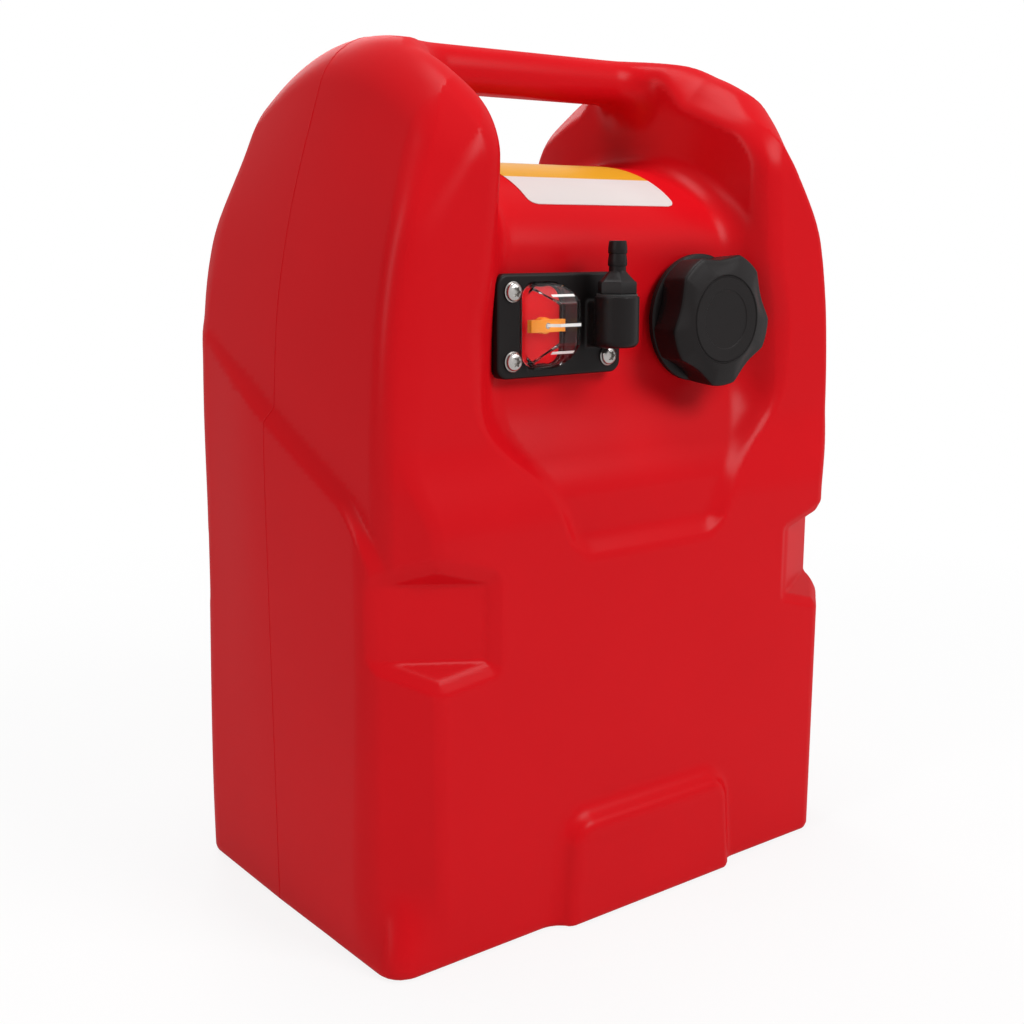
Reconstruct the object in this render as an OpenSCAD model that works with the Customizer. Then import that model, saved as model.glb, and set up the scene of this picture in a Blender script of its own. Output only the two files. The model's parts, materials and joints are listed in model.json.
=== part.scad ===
// Portable fuel tank with a carrying handle, a float gauge, a hose outlet and a vented filler cap.
// Millimetres. +Z is up and -Y is the front. The origin is the middle of the base, on the mould's parting plane.

/* [Tank] */
// Width of the lower body
lower_w = 326; // [300:1:360]
// Depth of the lower body
lower_d = 220; // [206:1:250]
// Overall height, to the top of the handle
tank_h = 447; // [430:1:480]
// Wall thickness of the moulded shell
wall = 4; // [3:0.5:5]
// Step from the lower body in to the upper body, on each side
side_step = 6; // [3:0.5:10]
// Set-back of the shoulder faces behind the lower front face
shoulder_step = 8; // [5:0.5:12]
// Width of the angled corner face, measured across the front
corner_x = 28; // [20:1:40]
// Depth of the angled corner face, measured along the side
corner_y = 21; // [18:1:40]
// Radius of the upper outline's top corners
top_r = 28; // [22:1:36]
// Radius of the inward bend of the upper body's flanks
flank_r = 384; // [350:1:460]
// Rounding along the bottom edges
foot_r = 7; // [6:1:20]
// Height of the body's shoulder line at the front
shoulder_z = 216; // [200:1:225]
// Rise of the shoulder line from front to back
shoulder_rise = 97; // [80:1:130]

/* [Recess and handle] */
// Half width of the recess between the shoulders, at the fittings
recess_half_w = 95; // [93:1:100]
// Half width of the gap under the handle
gap_half_w = 78; // [70:1:84]
// Depth of the fittings' face behind the lower front face
recess_d = 26; // [24:0.5:30]
// Distance from the middle of the fittings down to the ledge under them
ledge_drop = 53; // [49:1:60]
// Diameter of the handle bar
handle_d = 24; // [20:0.5:30]
// Finger room between the handle and the saddle
finger_gap = 35; // [28:1:45]
// Height of the crown of the saddle above its front edge
saddle_crown = 48; // [40:1:54]

/* [Strap notches and foot pad] */
// Lowest height of the strap notches
notch_z = 142; // [110:1:150]
// Height of a strap notch
notch_h = 58; // [40:1:62]
// Depth of a strap notch at the corner edge
notch_d = 11; // [6:0.5:14]
// Width of the raised pad at the foot of the front
pad_w = 126; // [90:1:150]
// Height of the raised pad
pad_h = 60; // [40:1:80]
// How far the pad stands out
pad_proud = 8; // [4:0.5:10]

/* [Gauge] */
// Width of the gauge plate
plate_w = 78; // [76:1:84]
// Height of the gauge plate
plate_h = 50; // [48:1:56]
// Thickness of the gauge plate
plate_t = 6; // [5:0.5:8]
// Middle of the gauge plate, across the tank
plate_x = -46; // [-48:0.5:-44]
// Distance from the saddle's front edge down to the middle of the fittings
fittings_drop = 33; // [28:1:36]
// Distance between screws, across
screw_dx = 60; // [58:1:62]
// Distance between screws, up and down
screw_dz = 33; // [32:1:36]
// Width of the clear dome
lens_w = 27; // [25:0.5:28]
// Height of the clear dome
lens_h = 41; // [38:0.5:42]
// How far the dome stands out of the plate
lens_proud = 14; // [11:0.5:17]
// Diameter of the pointer's shaft
shaft_d = 3; // [2.5:0.1:3.5]
// Length of the float arm, from the shaft to the float
arm_len = 168; // [150:1:172]
// Diameter of the float
float_d = 34; // [28:1:36]
// Length of the float
float_len = 30; // [20:1:32]
// Angle of the float arm below level when the gauge reads half
arm_rest = 40; // [36:1:44]

/* [Outlet] */
// Diameter of the outlet housing
housing_d = 22; // [20:0.5:23]
// Height of the outlet housing
housing_h = 25; // [22:0.5:28]
// Diameter over the hose barb's crests
barb_d = 9.4; // [8.8:0.1:10]
// Bore through the hose barb
barb_bore = 5; // [4:0.1:5.4]
// Outside diameter of the pick-up tube
pickup_d = 9; // [8.6:0.1:10]
// Gap between the strainer and the tank's floor
strainer_gap = 5; // [3:0.5:12]

/* [Filler cap] */
// Middle of the cap, across the tank
cap_x = 50; // [48:0.5:54]
// Diameter over the cap's lobes
cap_d = 70; // [68:0.5:73]
// Height of the cap's cover
cap_h = 24; // [22:0.5:26]
// Number of lobes round the cap
lobe_count = 7; // [5:1:9]
// Outside diameter of the filler neck
neck_d = 48; // [44:0.5:49]
// Bore of the filler neck
neck_bore = 40; // [34:0.5:41]
// How far the filler neck stands out
neck_proud = 16; // [14:0.5:18]

/* [Hidden] */
$fn = 48;

// Clearances and small sizes
run_gap = 0.05;      // radial clearance of a turning shaft
slip_gap = 0.3;      // clearance between parts that move past each other
seat_gap = 0.2;      // clearance of a part that drops into a seat
over = 60;           // how far a cutter runs past the body
arc_steps = 10;      // straight steps in a quarter of the saddle

// Derived places on the tank
half_w = lower_w / 2;
half_d = lower_d / 2;
upper_half_w = half_w - side_step;
upper_half_d = half_d - shoulder_step;
face_y = -(half_d - recess_d);
handle_r = handle_d / 2;
handle_z = tank_h - handle_r;
saddle_z = tank_h - handle_d - finger_gap;
saddle_edge_z = saddle_z - saddle_crown;
fittings_z = saddle_edge_z - fittings_drop;
ledge_z = fittings_z - ledge_drop;
shoulder_back_z = shoulder_z + shoulder_rise;
tongue_d = 5;
ledge_fall = 25;
tongue_h = 34;
tongue_top_z = ledge_z - ledge_fall;
tongue_low_z = tongue_top_z - tongue_h;
tongue_half_w = 67;
tongue_low_half_w = 52;
rear_drop = 14;
rear_ledge_z = saddle_edge_z - rear_drop;
rear_step = 22;
back_slope = 24;
shelf_rise = 40;
recess_round = 16;
flare_h = 24;
straight_h = 10;
band_d = 16;
band_w = 10;
flank_low_z = tank_h - 185;
flank_top_z = tank_h - 72;
crown_d = 20;
slope_d = 56;
slope_fall = 10;
flank_d = upper_half_d - band_d;
flank_fall = 26;
band_fall = 46;

// Derived places on the gauge
gasket_t = 1.5;
plate_back = face_y - gasket_t;
plate_front = plate_back - plate_t;
plate_r = 6;
lens_x = plate_x - 11;
seal_t = 1;
rebate_d = 2.5;
lens_back = plate_front + rebate_d - seal_t;
lens_front = plate_front - lens_proud;
lens_wall = 2;
window_w = lens_w - 9;
window_h = lens_h - 9;
shaft_r = shaft_d / 2;
boss_len = 20;
bridge_w = 6;
bridge_t = 3;
pointer_h = 6;
pointer_t = 3;
pointer_gap = 1.2;
hub_proud = 3;
boss_back = plate_back + boss_len;
hub_r = 4;
arm_y = boss_back + 21;
arm_r = 1.5;
float_front = arm_y + 3;
insert_r = 3.6;
insert_len = 9;
boss_r = 6.5;
screw_r = 2.5;
screw_len = 12;
head_r = 4.5;
head_t = 2.4;
washer_r = 5;
washer_t = 1;
opening_w = 36;
opening_h = lens_h - 1;
opening_x = lens_x + 5;

// Derived places on the outlet
housing_r = housing_d / 2;
housing_x = plate_x + 23;
housing_y = plate_front - washer_t - head_t - slip_gap - housing_r;
housing_low = fittings_z - screw_dz / 2 + washer_r + slip_gap;
neck_web_w = 14;
housing_top = housing_low + housing_h;
port_r = 2.2;
spigot_r = 3;
spigot_back = plate_back + 16;
slot_half = 7.5;
thread_r = 5.5;
thread_len = 9;
outlet_seal_t = 1;
hex_low = housing_top + outlet_seal_t;
hex_h = 6;
hex_r = 10;
cone_h = 5;
barb_r = barb_d / 2;
stem_r = barb_r - 0.9;
crest_land = 3;
crest_cone = 3;
stem_len = 2.5;
pickup_r = pickup_d / 2;
bend_r = 12;
pickup_top = spigot_back - 10;
bend_y = spigot_back + 2;
drop_y = bend_y + bend_r;
drop_z = fittings_z - bend_r;
strainer_r = 9;
strainer_h = 16;
strainer_z = wall + strainer_gap;

// Derived places on the cap
neck_r = neck_d / 2;
neck_end = face_y - neck_proud;
cap_gasket_t = 2;
sleeve_back = face_y - 2;
disc_back = neck_end - cap_gasket_t;
disc_t = 3;
disc_front = disc_back - disc_t;
sleeve_r = neck_r + slip_gap + 3.2;
cover_back = face_y - 3;
cover_front = cover_back - cap_h;
cover_t = 3.5;
cover_in = cover_front + cover_t;
ring_r = 20;
valve_r = 9;
valve_stem_r = 2;

// Points along an arc in a plane, from angle a0 to a1
function arc(cx, cy, rx, ry, a0, a1, n) =
    [for (i = [0:n]) let (a = a0 + (a1 - a0) * i / n) [cx + rx * cos(a), cy + ry * sin(a)]];

// The same points mirrored across the first axis, in reverse order
function mirrored(pts) = [for (i = [len(pts) - 1:-1:0]) [-pts[i][0], pts[i][1]]];

// A plane outline given as (y, z), carried along X
module along_x(len) rotate([90, 0, 90]) linear_extrude(len, center = true) children();

// A plane outline given as (x, z), carried along Y from y0 to y1
module along_y(y0, y1) translate([0, y1, 0]) rotate([90, 0, 0]) linear_extrude(y1 - y0) children();

// A cylinder along Y from y0 to y1
module rod_y(x, z, r, y0, y1) translate([x, y0, z]) rotate([-90, 0, 0]) cylinder(r = r, h = y1 - y0);

// A plane rectangle with round corners
module round_rect(w, h, r) offset(r) square([w - 2 * r, h - 2 * r], center = true);

// Lower body seen from above, with the angled corner faces
module lower_plan() {
    x0 = half_w - corner_x;
    y0 = half_d - corner_y;
    polygon([[x0, -half_d], [half_w, -y0], [half_w, y0], [x0, half_d],
             [-x0, half_d], [-half_w, y0], [-half_w, -y0], [-x0, -half_d]]);
}

// Lower body seen from the side, with its rising shoulder line
module lower_side() polygon(concat(
    arc(half_d - foot_r, foot_r, foot_r, foot_r, -90, 0, 4),
    [[half_d, shoulder_back_z - back_slope], [upper_half_d, shoulder_back_z], [-half_d, shoulder_z]],
    arc(-half_d + foot_r, foot_r, foot_r, foot_r, 180, 270, 4)));

// Lower body seen from the front
module lower_front() polygon(concat(
    arc(half_w - foot_r, foot_r, foot_r, foot_r, -90, 0, 4),
    [[half_w, shoulder_back_z + 1], [-half_w, shoulder_back_z + 1]],
    arc(-half_w + foot_r, foot_r, foot_r, foot_r, 180, 270, 4)));

// Lower body, drawn in by e on every face
module lower_form(e) intersection() {
    linear_extrude(tank_h) offset(delta = -e) lower_plan();
    along_x(lower_w) offset(delta = -e) lower_side();
    along_y(-half_d, half_d) offset(delta = -e) lower_front();
}

// Sloping shelf between the lower front face and the set-back shoulder faces, drawn in by e
module shelf_form(e) along_x(lower_w - 2 * corner_x - 2 * e) offset(delta = -e)
    polygon([[-half_d, shoulder_z - 2 * wall - 1], [-half_d, shoulder_z], [-upper_half_d, shoulder_z + shelf_rise],
             [3 * wall - upper_half_d, shoulder_z + shelf_rise], [3 * wall - upper_half_d, shoulder_z - 2 * wall - 1]]);

// Upper outline seen from the front: straight sides, flanks that bend inwards, and round top corners
module upper_outline(hw, top, bend, r) {
    lean = asin((flank_top_z - flank_low_z) / flank_r);
    reach = (hw - bend) * cos(lean) + flank_low_z * sin(lean) + bend;
    middle_x = (reach - r - (top - r) * sin(lean)) / cos(lean);
    right = concat([[hw, notch_z]], arc(hw - bend, flank_low_z, bend, bend, 0, lean, 4),
                   arc(middle_x, top - r, r, r, lean, 90, 4));
    polygon(concat(right, mirrored(right)));
}

// One section of the upper body, from -y to y, drawn in by e
module upper_section(y, hw, drop, e) along_y(-y, y)
    upper_outline(hw - e, tank_h - drop - e, flank_r - e, top_r - e);

// Upper body: a crowned form that narrows in a band towards the front and back faces
module upper_form(e) hull() {
    upper_section(crown_d, upper_half_w, 0, e);
    upper_section(slope_d, upper_half_w, slope_fall, e);
    upper_section(flank_d - e, upper_half_w, flank_fall, e);
    upper_section(upper_half_d - e, upper_half_w - band_w, band_fall, e);
}

// Side outline of the space between the shoulders: tongue, ledge, fittings' face, saddle and rear dip
module middle_side() polygon(concat(
    [[-half_d - over, tongue_low_z], [-half_d, tongue_low_z], [-half_d + tongue_d, tongue_low_z + tongue_d],
     [-half_d + tongue_d, tongue_top_z], [face_y, ledge_z]],
    arc(0, saddle_edge_z, -face_y, saddle_crown, 180, 0, 2 * arc_steps),
    [[-face_y, rear_ledge_z], [-face_y + rear_step, rear_ledge_z - rear_step],
     [half_d + over, rear_ledge_z - rear_step], [half_d + over, tank_h + over], [-half_d - over, tank_h + over]]));

// Front outline of the space between the shoulders
module middle_front() {
    right = [[tongue_low_half_w, tongue_low_z - 1], [tongue_half_w, tongue_top_z],
             [recess_half_w, ledge_z + flare_h], [recess_half_w, fittings_z + straight_h],
             [gap_half_w, saddle_z], [gap_half_w, tank_h + over]];
    offset(r = recess_round) offset(delta = -recess_round) polygon(concat(right, mirrored(right)));
}

// Space between the shoulders, grown by e on every side
module middle_cut(e) intersection() {
    along_x(lower_w) offset(delta = e) middle_side();
    along_y(-half_d - over / 2, half_d + over / 2) offset(delta = e) middle_front();
}

// One strap notch: a flat cut across a corner edge, grown by e; the deep kind reaches round to the side
module notch_cut(e, deep) {
    edge_x = half_w - corner_x;
    front_x = edge_x - 3 * notch_d;
    side_x = deep ? half_w : edge_x + 2 * notch_d;
    side_y = -half_d + (deep ? 3.25 : 1.75) * notch_d;
    slope = (side_y + half_d) / (side_x - front_x);
    translate([0, 0, notch_z - e]) linear_extrude(notch_h + 2 * e) offset(delta = e)
        polygon([[front_x - over, -half_d - slope * over], [side_x + over, side_y + slope * over],
                 [side_x + over, -half_d - slope * over]]);
}

// The notch at the front right is the deep kind
module notch_cuts(e) for (mx = [0, 1], my = [0, 1])
    mirror([mx, 0, 0]) mirror([0, my, 0]) notch_cut(e, mx == 0 && my == 0);

// Raised pad at the foot of the front, drawn in by e
module pad_form(e) {
    corner = 22;
    right = [[pad_w / 2, e], [pad_w / 2, pad_h - corner], [pad_w / 2 - corner / 2, pad_h]];
    front = -half_d - pad_proud;
    intersection() {
        along_y(front + e, -half_d + 2 * wall) offset(delta = -e) polygon(concat(right, mirrored(right)));
        along_x(lower_w) offset(delta = -e) polygon([[front, foot_r / 2], [front + foot_r / 2, 0],
            [-half_d + over, 0], [-half_d + over, tank_h], [front + foot_r / 2, tank_h], [front, pad_h - 4]]);
    }
}

// The tank's outer form at e = 0, and its fuel space at e = wall
module tank_form(e) {
    difference() {
        union() {
            lower_form(e);
            shelf_form(e);
            upper_form(e);
        }
        middle_cut(e);
        notch_cuts(e);
    }
    pad_form(e);
    translate([-gap_half_w - wall - 1, 0, handle_z]) rotate([0, 90, 0])
        cylinder(r = handle_r - e, h = 2 * (gap_half_w + wall + 1));
}

// Middles of the four gauge screws
module at_screws() for (sx = [-1, 1], sz = [-1, 1])
    translate([plate_x + sx * screw_dx / 2, 0, fittings_z + sz * screw_dz / 2]) children();

// Opening in the fittings' face behind the gauge: a tall part for the dome and a slot for the fuel port
module gauge_opening() {
    translate([opening_x, fittings_z]) round_rect(opening_w, opening_h, 5);
    translate([opening_x, fittings_z - slot_half]) square([housing_x - opening_x + slot_half, 2 * slot_half]);
}

module tank_body() color("crimson") difference() {
    union() {
        difference() {
            tank_form(0);
            tank_form(wall);
        }
        rod_y(cap_x, fittings_z, neck_r, neck_end, face_y + wall / 2);
        at_screws() rod_y(0, 0, boss_r, face_y + wall / 2, face_y + insert_len + wall);
    }
    rod_y(cap_x, fittings_z, neck_bore / 2, neck_end - 1, face_y + over / 2);
    along_y(face_y - 1, face_y + wall + 1) gauge_opening();
    at_screws() rod_y(0, 0, insert_r, face_y - 1, face_y + insert_len + 1);
}

// Blank label laid over the saddle
module label() {
    label_t = 0.3;
    label_w = 98;
    step_a = 90 / arc_steps;
    label_steps = 8;
    back_a = 9 * step_a;
    front_a = back_a + label_steps * step_a;
    color("gold") translate([-1, 0, 0]) along_x(label_w) polygon(concat(
        arc(0, saddle_edge_z, -face_y + label_t, saddle_crown + label_t, back_a, front_a, label_steps),
        arc(0, saddle_edge_z, -face_y, saddle_crown, front_a, back_a, label_steps)));
}

module gauge_inserts() color("goldenrod") at_screws() difference() {
    rod_y(0, 0, insert_r, face_y, face_y + insert_len);
    rod_y(0, 0, screw_r, face_y - 1, face_y + insert_len + 1);
}

// Plate outline with its screw holes
module plate_outline(hole) difference() {
    translate([plate_x, fittings_z]) round_rect(plate_w, plate_h, plate_r);
    for (sx = [-1, 1], sz = [-1, 1])
        translate([plate_x + sx * screw_dx / 2, fittings_z + sz * screw_dz / 2]) circle(r = hole);
}

module gauge_gasket() color("dimgray") along_y(plate_back, face_y) difference() {
    plate_outline(screw_r + slip_gap);
    gauge_opening();
}

module gauge_base() color("black") difference() {
    union() {
        along_y(plate_front, plate_back) difference() {
            plate_outline(screw_r + slip_gap);
            translate([lens_x, fittings_z]) round_rect(window_w, window_h, 3);
        }
        translate([lens_x - bridge_w / 2, plate_back - bridge_t, fittings_z - window_h / 2 - bridge_t])
            cube([bridge_w, 2 * bridge_t, window_h + 2 * bridge_t]);
        rod_y(lens_x, fittings_z, hub_r, plate_back - bridge_t, boss_back);
        translate([housing_x, housing_y, housing_low]) cylinder(r = housing_r, h = housing_h);
        translate([housing_x - neck_web_w / 2, housing_y, housing_low])
            cube([neck_web_w, plate_front - housing_y + 1, screw_dz - 2 * (washer_r + slip_gap)]);
        rod_y(housing_x, fittings_z, spigot_r, plate_back - 1, spigot_back);
    }
    along_y(plate_front - 1, plate_front + rebate_d) translate([lens_x, fittings_z])
        square([lens_w + 2 * seat_gap, lens_h + 2 * seat_gap], center = true);
    rod_y(lens_x, fittings_z, shaft_r + run_gap, plate_front, boss_back + 1);
    rod_y(housing_x, fittings_z, port_r, housing_y, spigot_back + 1);
    translate([housing_x, housing_y, fittings_z]) cylinder(r = port_r + 0.3, h = housing_h);
    translate([housing_x, housing_y, housing_top - thread_len]) cylinder(r = thread_r, h = thread_len + 1);
}

module lens_seal() color("darkslategray") along_y(lens_back, lens_back + seal_t)
    translate([lens_x, fittings_z]) difference() {
        square([lens_w, lens_h], center = true);
        square([lens_w - 2 * lens_wall, lens_h - 2 * lens_wall], center = true);
    }

// Dome outline from the side: straight foot, sloping top and bottom, flat front
module lens_side(e) {
    top = [[lens_back, lens_h / 2 - e], [plate_front - 3 + e, lens_h / 2 - e], [lens_front + e, lens_h / 3.4 - e]];
    polygon(concat(top, [for (i = [2:-1:0]) [top[i][0], -top[i][1]]]));
}

// Dome outline from above, with its front corners taken off
module lens_plan(e) {
    hw = lens_w / 2 - e;
    polygon([[-hw, lens_back], [hw, lens_back], [hw, lens_front + 4 + e], [hw - 3, lens_front + e],
             [3 - hw, lens_front + e], [-hw, lens_front + 4 + e]]);
}

module lens_form(e) translate([lens_x, 0, fittings_z]) intersection() {
    along_x(lens_w) lens_side(e);
    translate([0, 0, -lens_h / 2]) linear_extrude(lens_h) lens_plan(e);
}

module gauge_lens() color("lightcyan", 0.4) difference() {
    lens_form(0);
    lens_form(lens_wall);
}

module gauge_screws() color("silver") at_screws() difference() {
    union() {
        rod_y(0, 0, screw_r, plate_front - washer_t, plate_front - washer_t + screw_len);
        rod_y(0, 0, head_r, plate_front - washer_t - head_t, plate_front - washer_t);
    }
    rod_y(0, 0, 1.6, plate_front - washer_t - head_t - 1, plate_front - washer_t - 1);
}

module screw_washers() color("gainsboro") at_screws() difference() {
    rod_y(0, 0, washer_r, plate_front - washer_t, plate_front);
    rod_y(0, 0, screw_r + slip_gap, plate_front - washer_t - 1, plate_front + 1);
}

// Orange pointer: a bar on a hub, level when the gauge reads half
module pointer() {
    hub_front = lens_back - hub_proud;
    hub_back = plate_back - bridge_t - slip_gap;
    tip = lens_w / 2 - lens_wall - pointer_gap;
    color("darkorange") difference() {
        union() {
            rod_y(lens_x, fittings_z, hub_r, hub_front, hub_back);
            translate([lens_x - tip, hub_front - pointer_t + 1, fittings_z - pointer_h / 2])
                cube([2 * tip, pointer_t, pointer_h]);
        }
        rod_y(lens_x, fittings_z, shaft_r, hub_front - pointer_t, hub_back + 1);
    }
}

module pointer_shaft() color("silver") rod_y(lens_x, fittings_z, shaft_r, lens_back - hub_proud - pointer_t + 1, arm_y + hub_r);

module shaft_clip() color("silver") difference() {
    rod_y(lens_x, fittings_z, hub_r, boss_back + slip_gap, boss_back + slip_gap + 1);
    rod_y(lens_x, fittings_z, shaft_r, boss_back, boss_back + 3);
}

// Float arm's own frame: its first axis runs from the shaft to the float at rest
module on_arm() translate([lens_x, arm_y, fittings_z]) rotate([0, arm_rest, 0]) children();

module float_arm() color("silver") difference() {
    on_arm() union() {
        rotate([-90, 0, 0]) translate([0, 0, -hub_r]) cylinder(r = hub_r, h = 2 * hub_r);
        rotate([0, 90, 0]) cylinder(r = arm_r, h = arm_len + arm_r);
        translate([arm_len, 0, 0]) rotate([-90, 0, 0])
            cylinder(r = arm_r, h = float_front - arm_y + float_len + 4);
    }
    rod_y(lens_x, fittings_z, shaft_r, arm_y - hub_r - 1, arm_y + hub_r + 1);
}

module float() color("saddlebrown") on_arm() translate([arm_len, float_front - arm_y, 0]) rotate([-90, 0, 0])
    difference() {
        cylinder(r = float_d / 2, h = float_len);
        translate([0, 0, -1]) cylinder(r = arm_r, h = float_len + 2);
    }

module float_clip() color("silver") on_arm() translate([arm_len, float_front - arm_y + float_len, 0])
    rotate([-90, 0, 0]) difference() {
        cylinder(r = hub_r, h = 1.2);
        translate([0, 0, -1]) cylinder(r = arm_r, h = 4);
    }

// Pick-up tube: pushed over the spigot, bent downwards, and run to the floor
module pickup_bend(r) translate([housing_x, bend_y, drop_z]) rotate([90, 0, 90])
    rotate_extrude(angle = 90) translate([bend_r, 0]) circle(r = r);

module pickup_tube() color("ivory") difference() {
    union() {
        rod_y(housing_x, fittings_z, pickup_r, pickup_top, bend_y);
        pickup_bend(pickup_r);
        translate([housing_x, drop_y, strainer_z + strainer_h - 6])
            cylinder(r = pickup_r, h = drop_z - strainer_z - strainer_h + 6);
    }
    rod_y(housing_x, fittings_z, spigot_r + run_gap, pickup_top - 1, bend_y);
    pickup_bend(spigot_r + run_gap);
    translate([housing_x, drop_y, strainer_z]) cylinder(r = spigot_r + run_gap, h = drop_z - strainer_z);
}

module pickup_strainer() color("lightgray") translate([housing_x, drop_y, strainer_z]) difference() {
    cylinder(r = strainer_r, h = strainer_h);
    translate([0, 0, 2]) cylinder(r = strainer_r - 2, h = strainer_h - 6 - 2 - 2);
    translate([0, 0, strainer_h - 6]) cylinder(r = pickup_r, h = 7);
    cylinder(r = spigot_r, h = strainer_h);
    for (a = [0:45:135]) rotate([0, 0, a]) translate([-strainer_r - 1, -1, 2]) cube([2 * strainer_r + 2, 2, 5]);
}

module outlet_seal() color("dimgray") translate([housing_x, housing_y, housing_top]) difference() {
    cylinder(r = housing_r - 1, h = outlet_seal_t);
    translate([0, 0, -1]) cylinder(r = thread_r, h = outlet_seal_t + 2);
}

// Hose fitting: threaded stub, hexagon, flare, stem and two barbs with short straight lands
module outlet_fitting() {
    cone_z = hex_low + hex_h;
    stem_z = cone_z + cone_h;
    barb_z = stem_z + stem_len;
    barb_h = crest_land + crest_cone;
    color("black") translate([housing_x, housing_y, 0]) difference() {
        union() {
            translate([0, 0, housing_top - thread_len + 1])
                cylinder(r = thread_r, h = thread_len - 1 + outlet_seal_t + 1);
            translate([0, 0, hex_low]) cylinder(r = hex_r, h = hex_h, $fn = 6);
            translate([0, 0, cone_z]) cylinder(r1 = hex_r * 0.8, r2 = stem_r + 0.3, h = cone_h);
            translate([0, 0, cone_z]) cylinder(r = stem_r, h = cone_h + stem_len + 2 * barb_h);
            for (i = [0, 1]) translate([0, 0, barb_z + i * barb_h]) {
                cylinder(r = barb_r, h = crest_land);
                translate([0, 0, crest_land]) cylinder(r1 = barb_r, r2 = stem_r + 0.1, h = crest_cone);
            }
        }
        translate([0, 0, housing_top - thread_len])
            cylinder(r = barb_bore / 2, h = barb_z + 2 * barb_h - housing_top + thread_len + 1);
    }
}

module cap_gasket() color("dimgray") difference() {
    rod_y(cap_x, fittings_z, neck_r, disc_back, neck_end);
    rod_y(cap_x, fittings_z, neck_bore / 2 - 1, disc_back - 1, neck_end + 1);
}

// Inner closure of the cap: a skirt round the neck, a disc with a vent hole, and a ring that carries the cover
module cap_sleeve() color("dimgray") difference() {
    union() {
        rod_y(cap_x, fittings_z, sleeve_r, disc_front, sleeve_back);
        rod_y(cap_x, fittings_z, ring_r + 3, cover_in, disc_front);
    }
    rod_y(cap_x, fittings_z, neck_r + slip_gap, disc_back, sleeve_back + 1);
    rod_y(cap_x, fittings_z, ring_r, cover_in - 1, disc_front);
    rod_y(cap_x, fittings_z, valve_stem_r, disc_front - 1, disc_back + 1);
    for (a = [0:120:240]) translate([cap_x, 0, fittings_z]) rotate([0, a, 0])
        rod_y(valve_r - 4, 0, 1, disc_front - 1, disc_back + 1);
}

// Rubber umbrella that lets air in through the disc
module vent_valve() color("black") union() {
    rod_y(cap_x, fittings_z, valve_r, disc_back, disc_back + 1);
    rod_y(cap_x, fittings_z, valve_stem_r, disc_front - 0.5, disc_back + 0.5);
    rod_y(cap_x, fittings_z, valve_stem_r + 0.8, disc_front - 1.2, disc_front);
}

module vent_filter() color("whitesmoke") difference() {
    rod_y(cap_x, fittings_z, ring_r, disc_front - 1.5, disc_front);
    rod_y(cap_x, fittings_z, valve_stem_r + 1.6, disc_front - 3, disc_front + 1);
}

// Cap cover seen from the front: a circle with a shallow scallop between each pair of lobes
module lobe_outline() {
    scallop_r = 18;
    scallop_d = 0.7 * (cap_d / 2 - sleeve_r - seat_gap);
    difference() {
        circle(r = cap_d / 2);
        for (i = [0:lobe_count - 1]) rotate(360 * i / lobe_count)
            translate([cap_d / 2 + scallop_r - scallop_d, 0]) circle(r = scallop_r);
    }
}

module cap_cover() {
    skirt_r = sleeve_r + seat_gap;
    groove_r = 0.31 * cap_d;
    color("black") difference() {
        union() {
            along_y(cover_front, cover_back) translate([cap_x, fittings_z]) lobe_outline();
            rod_y(cap_x, fittings_z, cap_d / 2 - 1.5, cover_back - 4, cover_back);
        }
        rod_y(cap_x, fittings_z, skirt_r, disc_front, cover_back + 1);
        rod_y(cap_x, fittings_z, ring_r + 3, cover_in, disc_front + 1);
        along_y(cover_front - 1, cover_front + 0.6) translate([cap_x, fittings_z]) difference() {
            circle(r = groove_r + 0.4);
            circle(r = groove_r - 0.4);
        }
    }
}

tank_body();
label();
gauge_inserts();
gauge_gasket();
gauge_base();
lens_seal();
gauge_lens();
gauge_screws();
screw_washers();
pointer();
pointer_shaft();
shaft_clip();
float_arm();
float();
float_clip();
pickup_tube();
pickup_strainer();
outlet_seal();
outlet_fitting();
cap_gasket();
cap_sleeve();
vent_valve();
vent_filter();
cap_cover();
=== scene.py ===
"""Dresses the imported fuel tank: moulded red shell, gauge, hose outlet and filler cap on a pale floor."""

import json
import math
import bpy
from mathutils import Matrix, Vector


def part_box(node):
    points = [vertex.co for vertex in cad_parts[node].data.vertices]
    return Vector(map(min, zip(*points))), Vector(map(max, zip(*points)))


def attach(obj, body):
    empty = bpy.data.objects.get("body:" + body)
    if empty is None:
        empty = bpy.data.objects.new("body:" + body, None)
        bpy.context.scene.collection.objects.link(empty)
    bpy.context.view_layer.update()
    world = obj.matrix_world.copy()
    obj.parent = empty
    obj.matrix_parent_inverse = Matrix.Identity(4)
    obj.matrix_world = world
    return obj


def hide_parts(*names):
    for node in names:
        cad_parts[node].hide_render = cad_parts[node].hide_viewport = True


bl_info = {
    "name": "Portable Fuel Tank",
    "version": (1, 0, 0),
    "blender": (4, 5, 0),
    "location": "View3D > Sidebar > Fuel Tank",
    "description": "Builds the looks of a moulded fuel tank round its packed frame",
    "category": "Object",
}

import bpy
import numpy as np
from mathutils import Vector

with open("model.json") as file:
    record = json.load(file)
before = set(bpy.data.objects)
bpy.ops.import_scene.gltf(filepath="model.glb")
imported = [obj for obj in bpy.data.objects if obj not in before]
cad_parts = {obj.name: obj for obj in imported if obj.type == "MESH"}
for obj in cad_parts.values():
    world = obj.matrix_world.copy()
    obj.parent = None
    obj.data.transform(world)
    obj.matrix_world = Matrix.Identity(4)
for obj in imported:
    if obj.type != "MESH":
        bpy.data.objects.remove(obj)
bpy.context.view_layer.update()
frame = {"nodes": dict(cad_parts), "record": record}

# Shapes are worked out in millimetres and put into the meshes in metres
MM = 0.001


def node_box(name):
    """Lowest and highest corner of a CAD node, in millimetres."""
    low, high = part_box(name)
    return np.array(low) / MM, np.array(high) / MM


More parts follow.
